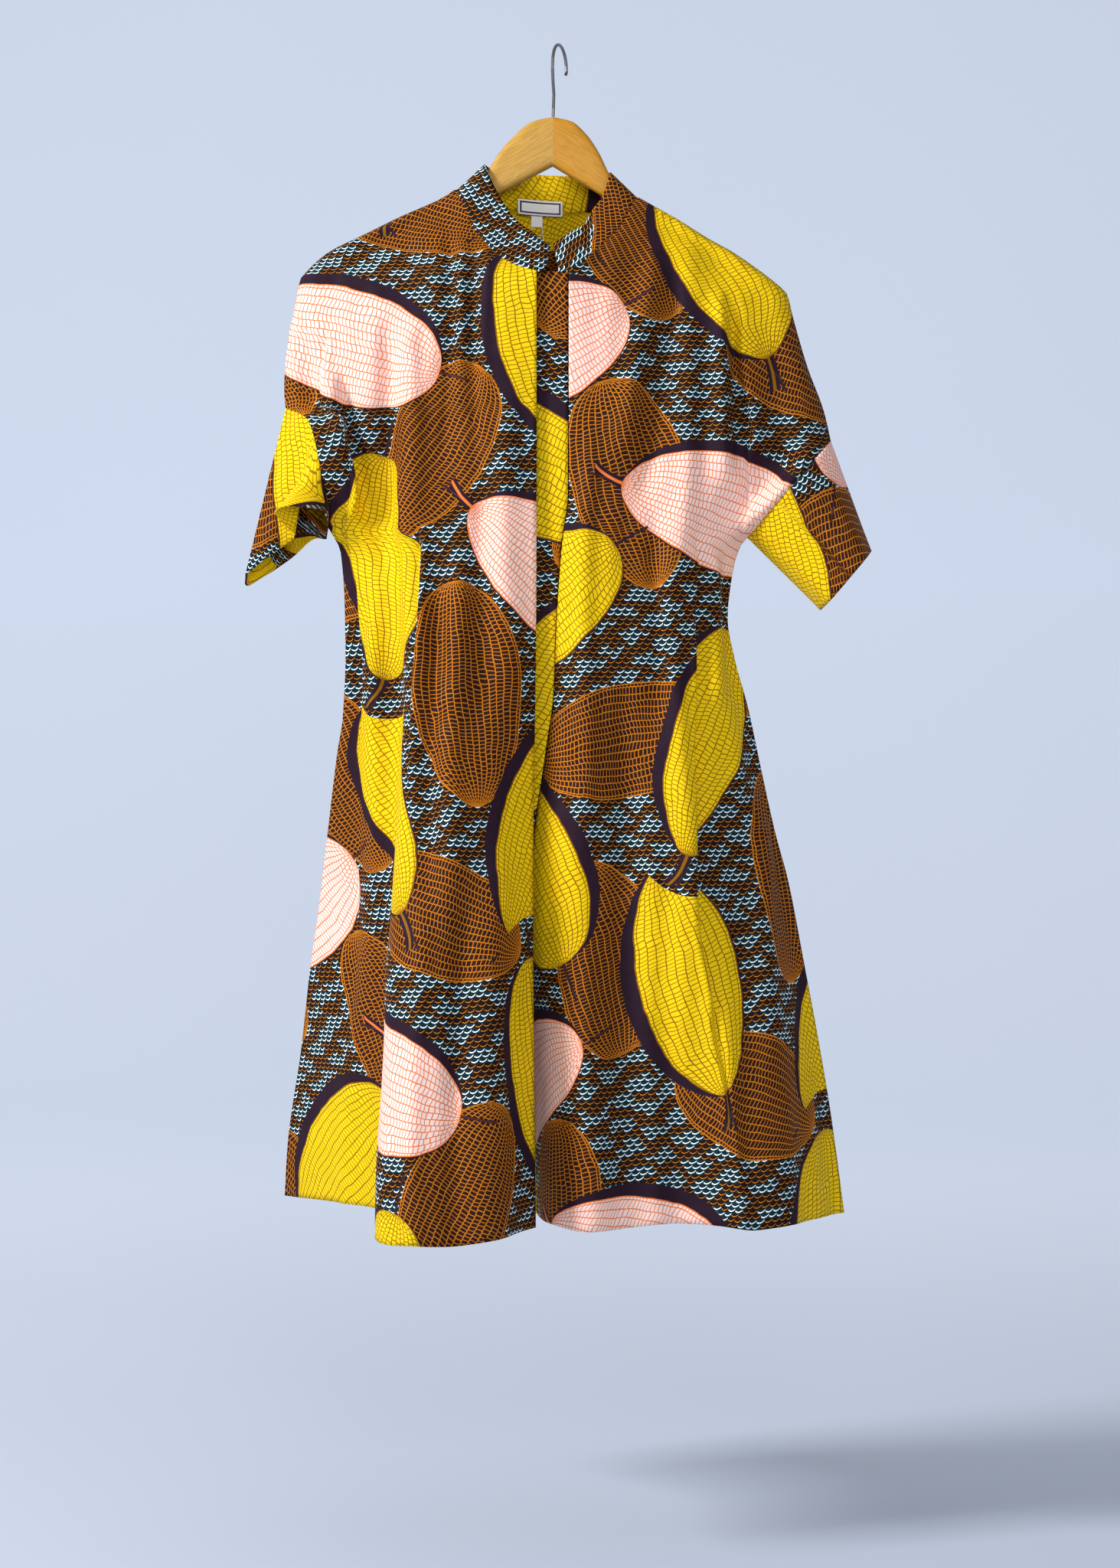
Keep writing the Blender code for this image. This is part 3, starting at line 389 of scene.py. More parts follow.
# Powers that round a leaf's two ends, cross lines along a leaf, how far they shift from rib to
# rib, and how much they waver
LEAF_STALK_END = 0.56
LEAF_TIP_END = 0.46
RUNGS = 56.0
RUNG_SHIFT = 9.0
RUNG_WOBBLE = 3.5
LEAF_COLOURS = {
    "brown": ((0.027, 0.0075, 0.0050), (0.56, 0.175, 0.006)),
    "pink": ((0.93, 0.72, 0.66), (0.83, 0.19, 0.035)),
    "yellow": ((0.90, 0.62, 0.003), (0.26, 0.105, 0.002)),
}
OUTLINE_COLOUR = (0.021, 0.008, 0.018)
GROUND_COLOUR = (0.012, 0.005, 0.004)
CRESCENT_PALE = (0.82, 0.95, 1.0)
CRESCENT_ORANGE = (0.62, 0.21, 0.012)
CRESCENT_TEAL = (0.003, 0.022, 0.030)

# Crescents and their pale clusters: pitch along and down, slide of each row, cluster steps, in mm
CRESCENT_PITCH = (7.4, 4.4)
CRESCENT_SLIDE = -0.38
CLUSTER_ALONG = (34.0, -8.0)
CLUSTER_DOWN = (-20.0, -14.0)

# Bumps of the surfaces: strength, and height in metres
RUMPLE_BUMP = (0.55, 0.010)
SLUB_BUMP = (0.25, 0.0004)
WOOD_BUMP = (0.12, 0.0004)

# Each half of the hanger: light and dark wood, slant of the grain in degrees, name of its finish
WOODS = {
    "left": ((0.60, 0.345, 0.066), (0.40, 0.195, 0.028), 28, "light_wood"),
    "right": ((0.60, 0.290, 0.024), (0.42, 0.170, 0.010), -31, "dark_wood"),
}


def run_along(line):
    """Length along a line of points, or along each row of a grid, up to each point."""
    steps = np.linalg.norm(np.diff(line, axis=-2), axis=-1)
    return np.concatenate([np.zeros((*steps.shape[:-1], 1)), np.cumsum(steps, axis=-1)], axis=-1)


def arc_shares(line):
    """Share of the length of a line of points at each point."""
    run = run_along(line)
    return run / run[-1]


def soft_step(value, low, high):
    """0 below low, 1 above high, smooth between."""
    share = np.clip((value - low) / (high - low), 0, 1)
    return share * share * (3 - 2 * share)


def blend_curve(start, end, leave, arrive, t):
    """Place at share t between two points, by the directions it leaves and arrives in."""
    return (start * (1 + 2 * t) * (1 - t) ** 2 + leave * t * (1 - t) ** 2
            + end * t * t * (3 - 2 * t) + arrive * t * t * (t - 1))


def smooth_through(knots, values, at):
    """Value at a place along a smooth curve through knots, without overshoot."""
    knots = np.asarray(knots, float)
    values = np.asarray(values, float)
    step = np.diff(knots)
    rise = np.diff(values) / step
    slope = np.zeros(len(knots))
    for k in range(1, len(knots) - 1):
        if rise[k - 1] * rise[k] > 0:
            slope[k] = 2 * rise[k - 1] * rise[k] / (rise[k - 1] + rise[k])
    slope[0] = rise[0]
    slope[-1] = rise[-1]
    k = int(np.clip(np.searchsorted(knots, at) - 1, 0, len(step) - 1))
    t = min(max((at - knots[k]) / step[k], 0.0), 1.0)
    return blend_curve(values[k], values[k + 1], slope[k] * step[k], slope[k + 1] * step[k], t)


def read_table(table, at, column=1):
    """One column of a table whose first column is the drop."""
    return smooth_through([row[0] for row in table], [row[column] for row in table], at)


def curve_point(points, at):
    """Point at share 0 to 1 of the knots of a curve through points, spaced by their distances."""
    points = np.asarray(points, float)
    gaps = np.sqrt(np.linalg.norm(np.diff(points, axis=0), axis=1)) + 1e-6
    place = at * (len(points) - 1)
    k = min(int(place), len(points) - 2)
    start = points[k]
    end = points[k + 1]
    before = points[k - 1] if k > 0 else start * 2 - end
    after = points[k + 2] if k + 2 < len(points) else end * 2 - start
    h0 = gaps[k - 1] if k > 0 else gaps[k]
    h1 = gaps[k]
    h2 = gaps[k + 1] if k + 2 < len(points) else gaps[k]
    leave = h1 * ((start - before) / h0 - (end - before) / (h0 + h1) + (end - start) / h1)
    arrive = h1 * ((end - start) / h1 - (after - start) / (h1 + h2) + (after - end) / h2)
    return blend_curve(start, end, leave, arrive, place - k)


def along_curve(points, share):
    """Point at a share of the length of a curve through points."""
    place = np.interp(share, arc_shares(np.asarray(points, float)), np.arange(len(points)))
    return curve_point(points, place / (len(points) - 1))


def to_world(points):
    """Metres in the seat's frame, from x, forward and drop in mm."""
    x, forward, drop = np.moveaxis(np.asarray(points, float), -1, 0)
    return np.stack([x * MM + HANGER_OFFSET, -forward * MM, -drop * MM], axis=-1)


def room_at(distance):
    """How far the cloth stands off the shoulder line's plane, round a hanger arm's top."""
    near = min(1.0, distance / ARM_ROOM_WITHIN)
    return ARM_ROOM * math.sqrt(1 - (1 - near) ** 2)


def shoulder_forward(reach):
    """The hanger's arms lean forward toward their tips."""
    return SHOULDER_LEAN * (reach / SHOULDER_LEAN_REACH) ** 1.5


def outer_edge(side, face, drop):
    """Reach and forward of a panel's outer edge, and whether it is folded there."""
    last, tip = SHOULDER[side][-1]
    first = SIDE_SEAM[side][0][0]
    if drop <= last:
        reach = read_table(SHOULDER[side], drop)
        return reach, shoulder_forward(reach), True
    if drop < first:
        along = (drop - last) / (first - last)
        middle = shoulder_forward(tip) * (1 - along)
        opening = SEAM_OPENING * math.sin(math.pi * along) ** 0.6
        return read_table(SLEEVE_SEAM[side, face], drop), middle + FACING[face] * opening, False
    return read_table(SIDE_SEAM[side], drop), -read_table(SIDE_DEPTH[side], drop), True


def inner_edge(side, face, drop):
    """Signed x and forward of a panel's inner edge: neckline, opening or centre back."""
    neck = NECK[side, face]
    if drop < neck[-1][0]:
        return SIGN[side] * read_table(neck, drop), read_table(neck, drop, 2)
    return read_table(OPENING[side, face], drop), read_table(OPENING[side, face], drop, 2)


def panel_row(side, face, drop):
    """Points of one row of the cloth's outer face, from the inner edge to the outer edge."""
    sign = SIGN[side]
    facing = FACING[face]
    inner_x, inner_forward = inner_edge(side, face, drop)
    reach, outer_forward, folded = outer_edge(side, face, drop)
    outer_x = sign * reach
    chest = min(max((drop - YOKE_DROP) / (CHEST_DROP - YOKE_DROP), 0.0), 1.0)
    stations = [(inner_x, inner_forward, 0.0)]
    for shares, depths, sag in FOLDS[side, face]:
        share = smooth_through(LEVELS, shares, drop)
        yoke = outer_forward + (inner_forward - outer_forward) * (1 - share ** YOKE_CURVE[face])
        forward = smooth_through(LEVELS, depths, drop) * chest + yoke * (1 - chest)
        x = inner_x + share * (outer_x - inner_x)
        room = shoulder_forward(abs(x)) + facing * room_at(abs(outer_x - x))
        if drop < ROOM_DROP:
            forward = max(forward, room) if facing > 0 else min(forward, room)
        stations.append((x, forward, sag))
    roll = min(EDGE_ROLL, abs(outer_x - inner_x) * 0.12)
    if folded:
        outer_forward += facing * SEAM_GAP / MM / 2
        rolled = outer_forward + facing * room_at(roll)
    else:
        rolled = outer_forward + facing * roll * 0.3
    stations.append((outer_x - sign * roll, rolled, 0.0))
    stations.append((outer_x, outer_forward, 0.0))
    hem_share = max(0.0, (drop - HEM_EASE_FROM) / (HEM_DROP - HEM_EASE_FROM)) ** 2
    flat = [(x, forward, drop + sag * hem_share) for x, forward, sag in stations]
    count = (len(flat) - 1) * COLUMN_SPLITS
    return np.array([curve_point(flat, j / count) for j in range(count + 1)])


def cuff_point(side, face, share):
    """World point of the cuff's edge at a share of the way from its outer corner to the underarm."""
    if side == "left":
        reach, drop, forward = along_curve(CUFF_LEFT[face], share)
    else:
        angle = math.pi * share
        blend = (1 - math.cos(angle)) / 2
        reach, drop, forward = np.array(CUFF_RIGHT_OUTER) * (1 - blend) + np.array(CUFF_RIGHT_UNDER) * blend
        forward += FACING[face] * CUFF_RIGHT_DEPTH * math.sin(angle)
    return to_world((SIGN[side] * reach, forward, drop))


def grid_normals(grid, facing):
    """Unit normals of a grid of points, turned over where facing is negative."""
    normal = np.cross(np.gradient(grid, axis=1), np.gradient(grid, axis=0))
    normal /= np.linalg.norm(normal, axis=2, keepdims=True) + 1e-12
    return normal * facing


def split_rows(drops):
    """Row drops, with the solids' rows among them and finer rows between."""
    fine = []
    for a, b in zip(drops[:-1], drops[1:]):
        parts = max(1, round((b - a) / ROW_STEP))
        fine += [a + (b - a) * k / parts for k in range(parts)]
    return fine + [drops[-1]]


def crease_lift(creases, x, drop):
    """Height of the creases at places on a panel, in mm."""
    total = np.zeros_like(x)
    for x0, d0, x1, d1, width, height in creases:
        along = (drop - d0) / (d1 - d0)
        fade = soft_step(along, 0, CREASE_END)
        if d1 < ROWS[-1]:
            fade = fade * soft_step(1 - along, 0, CREASE_END)
        middle = x0 + (x1 - x0) * along + CREASE_SWAY * np.sin(drop * 0.021 + x0)
        across = (x - middle) / (width * (0.75 + 0.5 * np.clip(along, 0, 1)))
        total += height * fade * np.exp(-across * across)
    return total * CREASE_SCALE


def ripple(x, drop, seed):
    """Small soft unevenness of hanging cotton, in mm."""
    total = np.zeros_like(x)
    for k, (wide, tall) in enumerate(RIPPLE_LENGTHS):
        bend = 0.9 * np.sin(drop / tall * 2.1 + seed * 1.7 + k)
        total += np.sin(x / wide * 2 * math.pi + bend + seed * (k + 1)) / (k + 1.3)
    return total * RIPPLE_HEIGHT


def spread_columns(rows, tucks, drops, sign):
    """Rows laid out again in even columns, closer together beside each tuck.

    Gives the rows, the length along each and the place of each tuck along each row, in mm.
    """
    lengths = [run_along(row) for row in rows]
    marks = []
    for row, drop, along in zip(rows, drops, lengths):
        reach = np.maximum.accumulate(row[:, 0] * sign)
        found = [float(np.interp(read_table(tuck, drop) * reach[-1], reach, along)) for tuck in tucks]
        marks.append([min(max(m, 2 * TUCK_REACH), along[-1] - 1.5 * TUCK_REACH) for m in found])
    marks = np.sort(np.array(marks), axis=1)
    for k in range(1, marks.shape[1]):
        marks[:, k] = np.maximum(marks[:, k], marks[:, k - 1] + 2.5 * TUCK_REACH)
    bounds = [np.zeros(len(rows))]
    for k in range(marks.shape[1]):
        bounds += [marks[:, k] - TUCK_REACH, marks[:, k] + TUCK_REACH]
    bounds.append(np.array([a[-1] for a in lengths]))
    counts = []
    for k in range(len(bounds) - 1):
        wide = float((bounds[k + 1] - bounds[k]).mean())
        counts.append(TUCK_COLUMNS if k % 2 else max(2, round(wide / COLUMN_STEP)))
    spread = []
    places = []
    for i, (row, length) in enumerate(zip(rows, lengths)):
        at = [0.0]
        for k, count in enumerate(counts):
            low = bounds[k][i]
            high = max(bounds[k + 1][i], low + 0.5)
            at += [low + (high - low) * (n + 1) / count for n in range(count)]
        at = np.minimum(np.array(at), length[-1])
        at[-1] = length[-1]
        spread.append(np.stack([np.interp(at, length, row[:, axis]) for axis in range(3)], axis=1))
        places.append(at)
    return np.array(spread), np.array(places), marks


def fine_panel(side, face):
    """Points, cloth coordinates and rows of one side of a front or of the back."""
    sign = SIGN[side]
    which = face if face == "back" else side + " front"
    drops = split_rows(NECK_ROWS[side] + ROWS)
    tucks = TUCKS[side, face]
    table, along, marks = spread_columns([panel_row(side, face, d) for d in drops], tucks, drops, sign)
    grid = to_world(table)
    x = table[:, :, 0]
    drop = np.repeat(np.array(drops)[:, None], grid.shape[1], axis=1)
    lift = crease_lift(CREASES[which], x, drop) + ripple(x, drop, RIPPLE_SEEDS[which])
    hidden_so_far = np.zeros_like(lift)
    for k, tuck in enumerate(tucks):
        hidden = np.array([read_table(tuck, d, 2) for d in drops])[:, None]
        past = along - marks[:, k:k + 1]
        off = past * np.sign(hidden + 1e-9)
        edge = TUCK_RISE * np.exp(-((off + 4) / 4) ** 2)
        under = TUCK_SINK * soft_step(off, -0.9, 1.3) * np.exp(-np.maximum(off, 0) / 15)
        lift += np.sqrt(np.abs(hidden) / TUCK_FULL) * (edge - under)
        hidden_so_far += np.abs(hidden) * soft_step(past, -1.2, 1.6)
    calm = soft_step(along[:, -1:] - along, 0, SEAM_CALM) * soft_step(drop, drops[0], drops[0] + TOP_CALM)
    start = soft_step(along, 0, INNER_CALM)
    if face == "back":
        start = np.where(drop < ROWS[0] + TOP_CALM, start, 1.0)
    lift = lift * calm * (0.2 + 0.8 * start)
    grid = grid + grid_normals(grid, -sign * FACING[face]) * lift[:, :, None] * MM
    down = np.linalg.norm(np.diff(grid, axis=0), axis=2).mean(axis=1)
    v = np.concatenate([[0], np.cumsum(down)])
    start_x = (grid[:, 0, 0] - HANGER_OFFSET) * sign
    u = (run_along(grid) + start_x[:, None] + hidden_so_far * MM) * sign
    return grid, u, np.repeat(v[:, None], grid.shape[1], axis=1), drops


def grid_faces(rows, columns, closed=False, start=0):
    """Quads between the points of a grid, row by row."""
    faces = []
    for i in range(rows - 1):
        for j in range(columns if closed else columns - 1):
            a = start + i * columns + j
            b = start + i * columns + (j + 1) % columns
            faces.append((a, b, b + columns, a + columns))
    return faces


def new_mesh(name, points, faces):
    """A mesh of points and faces."""
    mesh = bpy.data.meshes.new(name)
    mesh.from_pydata([tuple(p) for p in points], [], faces)
    return mesh


def add_object(name, data):
    """A new object in the scene."""
    thing = bpy.data.objects.new(name, data)
    bpy.context.scene.collection.objects.link(thing)
    return thing


def tidy_normals(mesh, weld=0.0):
    """Join points closer than weld, and turn all faces the same way, most of them to the front."""
    work = bmesh.new()
    work.from_mesh(mesh)
    if weld:
        bmesh.ops.remove_doubles(work, verts=work.verts, dist=weld)
    bmesh.ops.recalc_face_normals(work, faces=work.faces)
    if weld and sum(face.normal.y for face in work.faces) < 0:
        bmesh.ops.reverse_faces(work, faces=work.faces)
    work.to_mesh(mesh)
    work.free()


def cloth_object(name, mesh, thickness, node, material):
    """A smooth sheet in the scene, thickened inward, that stands for a solid of the part."""
    mesh.shade_smooth()
    piece = add_object(name, mesh)
    solid = piece.modifiers.new("cloth", "SOLIDIFY")
    solid.thickness = thickness
    solid.offset = -1.0
    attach(piece, "root")
    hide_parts(node)
    mesh.materials.append(material)
    return piece


def operator(name, swapped=False):
    """A method that puts its values into a math node."""
    def apply(self, *other):
        values = (self, *other)
        return self.nodes.math(name, *(values[::-1] if swapped else values))
    return apply


class Value:
    """A shader socket that sums, differences, products and quotients can be written with."""

    def __init__(self, nodes, socket):
        self.nodes = nodes
        self.socket = socket

    __add__ = operator("ADD")
    __sub__ = operator("SUBTRACT")
    __rsub__ = operator("SUBTRACT", True)
    __mul__ = operator("MULTIPLY")
    __truediv__ = operator("DIVIDE")
    __abs__ = operator("ABSOLUTE")


class Nodes:
    """A material and a short way to write its shader nodes."""

    def __init__(self, name):
        self.material = bpy.data.materials.new(name)
        self.material.use_nodes = True
        self.tree = self.material.node_tree

    def new(self, kind):
        return self.tree.nodes.new("ShaderNode" + kind)

    def fill(self, node, inputs, output=0):
        """Join or set a node's inputs, and give one of its outputs."""
        for key, value in inputs.items():
            if isinstance(value, Value):
                self.tree.links.new(value.socket, node.inputs[key])
            else:
                node.inputs[key].default_value = value
        return Value(self, node.outputs[output])

    def look(self, inputs):
        """Set the surface's inputs, and give the material."""
        self.fill(self.tree.nodes["Principled BSDF"], inputs)
        return self.material

    def place(self):
        """Coordinates in the object's own metres."""
        return Value(self, self.new("TexCoord").outputs["Object"])

    def cloth_place(self):
        """The piece's own flat coordinates."""
        node = self.new("UVMap")
        node.uv_map = "cloth"
        return self.fill(node, {})

    def math(self, operation, *values):
        node = self.new("Math")
        node.operation = operation
        return self.fill(node, dict(enumerate(values)))

    def most(self, a, b):
        return self.math("MAXIMUM", a, b)

    def least(self, a, b):
        return self.math("MINIMUM", a, b)

    def fract(self, a):
        return self.math("FRACT", a)

    def vector(self, operation, *values):
        node = self.new("VectorMath")
        node.operation = operation
        output = "Value" if operation in ("LENGTH", "DOT_PRODUCT") else "Vector"
        return self.fill(node, dict(enumerate(values)), output)

    def scaled(self, vector, factors):
        return self.vector("MULTIPLY", vector, factors)

    def split(self, vector):
        node = self.new("SeparateXYZ")
        self.fill(node, {0: vector})
        return [Value(self, socket) for socket in node.outputs]

    def join(self, x, y):
        return self.fill(self.new("CombineXYZ"), {0: x, 1: y})

    def mix(self, share, a, b):
        """Blend of two colours."""
        node = self.new("Mix")
        node.data_type = "RGBA"
        a, b = ((*c, 1.0) if isinstance(c, tuple) else c for c in (a, b))
        return self.fill(node, {0: share, 6: a, 7: b}, 2)

    def mix_vector(self, share, a, b):
        node = self.new("Mix")
        node.data_type = "VECTOR"
        return self.fill(node, {0: share, 4: a, 5: b}, 1)

    def noise(self, vector, scale, detail=2.0):
        return self.fill(self.new("TexNoise"), {"Vector": vector, "Scale": scale, "Detail": detail})

    def step(self, value, low, high):
        """0 at low, 1 at high, smooth between."""
        node = self.new("MapRange")
        node.interpolation_type = "SMOOTHSTEP"
        return self.fill(node, {"Value": value, "From Min": low, "From Max": high})

    def mapping(self, vector, place, turn, scale, kind):
        node = self.new("Mapping")
        node.vector_type = kind
        inputs = {"Vector": vector, "Location": place, "Rotation": (0, 0, turn), "Scale": scale}
        return self.fill(node, inputs)

    def bump(self, height, strength, distance, under=None):
        """Surface direction bent by a height, on top of another bump."""
        inputs = {"Strength": strength, "Distance": distance, "Height": height}
        if under is not None:
            inputs["Normal"] = under
        return self.fill(self.new("Bump"), inputs)


def leaf_place(n, cloth, kind):
    """Coordinates of the nearest leaf of a kind: along its midrib and across it, in its lengths."""
    place = (9.0, 9.0, 0.0)
    half = (REPEAT[0] * MM / 2, REPEAT[1] * MM / 2, 1.0)
    for along, down, turn, length in LEAVES[kind]:
        spot = (along * MM, down * MM, 0.0)
        upper = tuple(s + h for s, h in zip(spot, half))
        lower = tuple(s - h for s, h in zip(spot, half))
        near = n.vector("WRAP", cloth, upper, lower)
        local = n.mapping(near, spot, math.radians(turn), (length * MM, length * MM, 1.0), "TEXTURE")
        oval = n.vector("LENGTH", n.scaled(local, (1.0, 1.55, 0.0)))
        place = n.mix_vector(n.math("LESS_THAN", oval, 0.66), place, local)
    return place


def leaf_layers(n, cloth, kind, wobble):
    """Fill, line, dark outline and stalk shares of a kind of leaf, with veins and cross lines."""
    width, ribs, (wide, thin), (low, high, strength) = LEAF_LOOKS[kind]
    x, y, _ = n.split(leaf_place(n, cloth, kind))
    y = y + wobble * 0.03
    t = n.most(x + 0.5, 0.0)
    shape = n.math("POWER", t, LEAF_STALK_END) * n.math("POWER", n.most(0.5 - x, 0.0), LEAF_TIP_END)
    half = shape * width
    beyond = abs(y) - half
    fill = n.step(beyond, 0.001, -0.001)
    band = shape * n.step(y, 0.0, 0.05) * 0.10 + 0.006
    outline = n.step(beyond - band, 0.002, -0.002)
    rim = n.step(beyond, -0.0065, -0.0045)
    ribbed = y / n.most(half, 0.004) * ribs + wobble * 0.25 + 0.5
    off_rib = (0.5 - abs(n.fract(ribbed) - 0.5)) * (half / ribs)
    vein = n.step(off_rib, wide, thin)
    jump = n.new("TexWhiteNoise")
    jump.noise_dimensions = "1D"
    shift = n.fill(jump, {"W": n.math("FLOOR", ribbed)}) * RUNG_SHIFT
    ladder = t * RUNGS + shift + wobble * RUNG_WOBBLE
    rung = n.step(n.fract(ladder), low, high) * strength
    lines = n.most(n.most(rim, vein), rung)
    arch = n.math("POWER", x + 0.5, 2.0) * 2.2
    off_stalk = abs(y - arch)
    reach = n.step(x, -0.64, -0.63) * n.step(x, -0.49, -0.50)
    stalk = n.step(off_stalk, 0.008, 0.006) * reach
    halo = n.step(off_stalk, 0.026, 0.022) * reach
    return fill, lines, n.most(outline, halo), stalk


def crescents(n, cloth):
    """The ground: rows of small crescents, pale in slanting clusters and orange between."""
    along, down = CRESCENT_PITCH
    x, y, _ = n.split(n.scaled(cloth, (1 / (along * MM), 1 / (down * MM), 0.0)))
    row = n.math("FLOOR", y)
    slid = x + row * CRESCENT_SLIDE
    column = n.math("FLOOR", slid)
    px = n.fract(slid) - 0.5
    py = n.fract(y) - 0.5
    arch = py + 0.22 - (px * px * 1.9 + px * 0.35)
    centre = n.join(column + 0.5 - row * CRESCENT_SLIDE, row + 0.5)
    centre = n.scaled(centre, (along, down, 0.0))
    (ax, ay), (bx, by) = CLUSTER_ALONG, CLUSTER_DOWN
    area = ax * by - ay * bx
    p = n.vector("DOT_PRODUCT", centre, (by / area, -bx / area, 0.0))
    q = n.vector("DOT_PRODUCT", centre, (-ay / area, ax / area, 0.0))
    stray = (n.noise(centre, 0.07, 1.0) - 0.5) * 0.9
    p = n.fract(p + stray) - 0.5
    q = n.fract(q + stray) - 0.5
    group = n.math("LESS_THAN", p * p * 1.15 + q * q, 0.165)
    ends = n.step(abs(px), 0.47, 0.41)
    thick = group * 0.042 + 0.066
    mark = n.step(abs(arch) - thick, 0.05, -0.02) * ends
    pale = n.mix(group, CRESCENT_ORANGE, CRESCENT_PALE)
    return n.mix(mark, n.mix(group, GROUND_COLOUR, CRESCENT_TEAL), pale)


def print_material(name):
    """The printed cotton, laid from the piece's own place in the repeat."""
    along, down, turn = PRINT_PLACES[name]
    n = Nodes(name + "_print")
    cloth = n.mapping(n.cloth_place(), (along * MM, down * MM, 0), math.radians(turn), (1, 1, 1), "POINT")
    wobble = n.noise(cloth, 28.0) - 0.5
    colour = crescents(n, cloth)
    for kind, (ground, line) in LEAF_COLOURS.items():
        fill, lines, outline, stalk = leaf_layers(n, cloth, kind, wobble)
        if kind != "brown":
            colour = n.mix(outline, colour, OUTLINE_COLOUR)
            colour = n.mix(stalk, colour, line)
        colour = n.mix(fill, colour, n.mix(lines, ground, line))
    worn = n.step(n.noise(cloth, 60.0, 3.0), 0.25, 0.8)
    shaded = n.vector("SCALE", colour)
    n.fill(shaded.socket.node, {"Scale": 1.0 - worn * 0.07})
    rumple = n.bump(n.noise(cloth, 9.0, 3.0) + n.noise(cloth, 34.0) * 0.35, *RUMPLE_BUMP)
    slub = n.noise(n.scaled(cloth, (260.0, 900.0, 0.0)), 1.0)
    return n.look({
        "Base Color": shaded,
        "Normal": n.bump(slub, *SLUB_BUMP, rumple),
        "Roughness": worn * 0.12 + 0.66,
        "Sheen Weight": 0.01,
        "Sheen Roughness": 0.5,
        "Specular IOR Level": 0.10,
    })


def wood_material(side):
    """Clear lacquered wood with long soft grain."""
    light, dark, degrees, _ = WOODS[side]
    slant = math.radians(degrees)
    n = Nodes("wood_" + side)
    spot = n.place()
    along = n.vector("DOT_PRODUCT", spot, (math.cos(slant), 0.0, math.sin(slant)))
    across = n.vector("DOT_PRODUCT", spot, (-math.sin(slant), 0.6, math.cos(slant)))
    spot = n.join(along, across)
    long = n.scaled(spot, (6.0, 90.0, 60.0))
    rings = n.fract((n.noise(long, 4.0, 6.0) + n.noise(long, 1.2)) * 5.0)
    fleck = n.noise(n.scaled(spot, (30.0, 700.0, 500.0)), 2.0)
    share = n.step(rings, 0.2, 0.9) * 0.5 + fleck * 0.35
    return n.look({
        "Base Color": n.mix(share, light, dark),
        "Roughness": fleck * 0.12 + 0.42,
        "Normal": n.bump(fleck, *WOOD_BUMP),
        "Specular IOR Level": 0.25,
        "Coat Weight": 0.04,
        "Coat Roughness": 0.30,
    })


def wire_material():
    """Bright drawn steel wire."""
    n = Nodes("wire")
    streak = n.noise(n.scaled(n.place(), (900.0, 900.0, 120.0)), 1.0)
    colour = n.mix(streak, (0.16, 0.155, 0.16), (0.34, 0.33, 0.33))
    return n.look({"Base Color": colour, "Roughness": streak * 0.2 + 0.30, "Metallic": 1.0})


def tape_material(name, border):
    """White woven tape, with a thin dark border where the label has one."""
    n = Nodes(name)
    u, v, _ = n.split(n.cloth_place())
    near_u = n.least(u, 1.0 - u)
    near_v = n.least(v, 1.0 - v)
    weave = n.math("SINE", (u + v) * 260.0)
    white = n.mix(weave * 0.06, (1.0, 1.0, 1.0), (0.93, 0.93, 0.95))
    if border:
        inset = n.least(near_u, near_v * 0.36)
        line = n.step(inset, 0.035, 0.045) * n.step(inset, 0.085, 0.075)
        white = n.mix(line, white, (0.012, 0.014, 0.045))
    return n.look({"Base Color": white, "Roughness": weave * 0.05 + 0.5})


def painted_light_floor_material():
    """The pale floor and wall, with painted light: a soft glow of their own, full on the wall, a little
    stronger at the left and fading out toward the front.
    """
    n = Nodes("floor")
    spot = n.place()
    x, behind, _ = n.split(spot)
    # Painted light: the glow is full at the left and a tenth weaker at the right
    painted_glow, _, _ = n.split(n.mix(n.step(x, 3.0, -3.0), (0.90, 0.90, 0.90), (1.0, 1.0, 1.0)))
    return n.look({
        "Base Color": n.mix(n.noise(spot, 1.5), (0.50, 0.56, 0.685), (0.52, 0.58, 0.705)),
        "Roughness": 0.9,
        "Emission Color": (*WALL_PAINTED_LIGHT, 1.0),
        "Emission Strength": painted_glow * n.step(behind, PAINTED_LIGHT_FROM, PAINTED_LIGHT_FULL),
    })


def cloth_piece(name, grid, u, v, outward, thickness, node, material, around=0.0):
    """A sheet from a grid of points and cloth coordinates; a tube where around gives its girth."""
    rows, columns = grid.shape[:2]
    points = grid.reshape(-1, 3)
    faces = grid_faces(rows, columns, around > 0)
    mesh = new_mesh(name, points, faces)
    last = len(faces) // (rows - 1)
    corners = points[list(faces[(rows // 2) * last + last // 2])]
    normal = np.cross(corners[1] - corners[0], corners[2] - corners[0])
    layer = mesh.uv_layers.new(name="cloth")
    flat_u = u.reshape(-1)
    flat_v = v.reshape(-1)
    for poly in mesh.polygons:
        row_end = around > 0 and poly.index % last == last - 1
        for corner in poly.loop_indices:
            k = mesh.loops[corner].vertex_index
            more = around if row_end and k % columns == 0 else 0.0
            layer.data[corner].uv = (flat_u[k] + more, -flat_v[k])
    if np.dot(normal, outward) < 0:
        mesh.flip_normals()
    return cloth_object(name, mesh, thickness, node, material)


def printed_piece(node, grid, u, v, outward, thickness=CLOTH_THICK, around=0.0):
    """A printed sheet that stands for one of the part's cloth solids."""
    name = node + "_cloth"
    material = print_material(name)
    return cloth_piece(name, grid, u, v, outward, thickness, node, material, around)


def make_body():
    """Both fronts and the back."""
    panels = {key: fine_panel(*key) for key in TUCKS}
    for side in SIGN:
        grid, u, v, _ = panels[side, "front"]
        piece = printed_piece("front_" + side, grid, u, v, AHEAD)
    make_back(panels)
    return panels


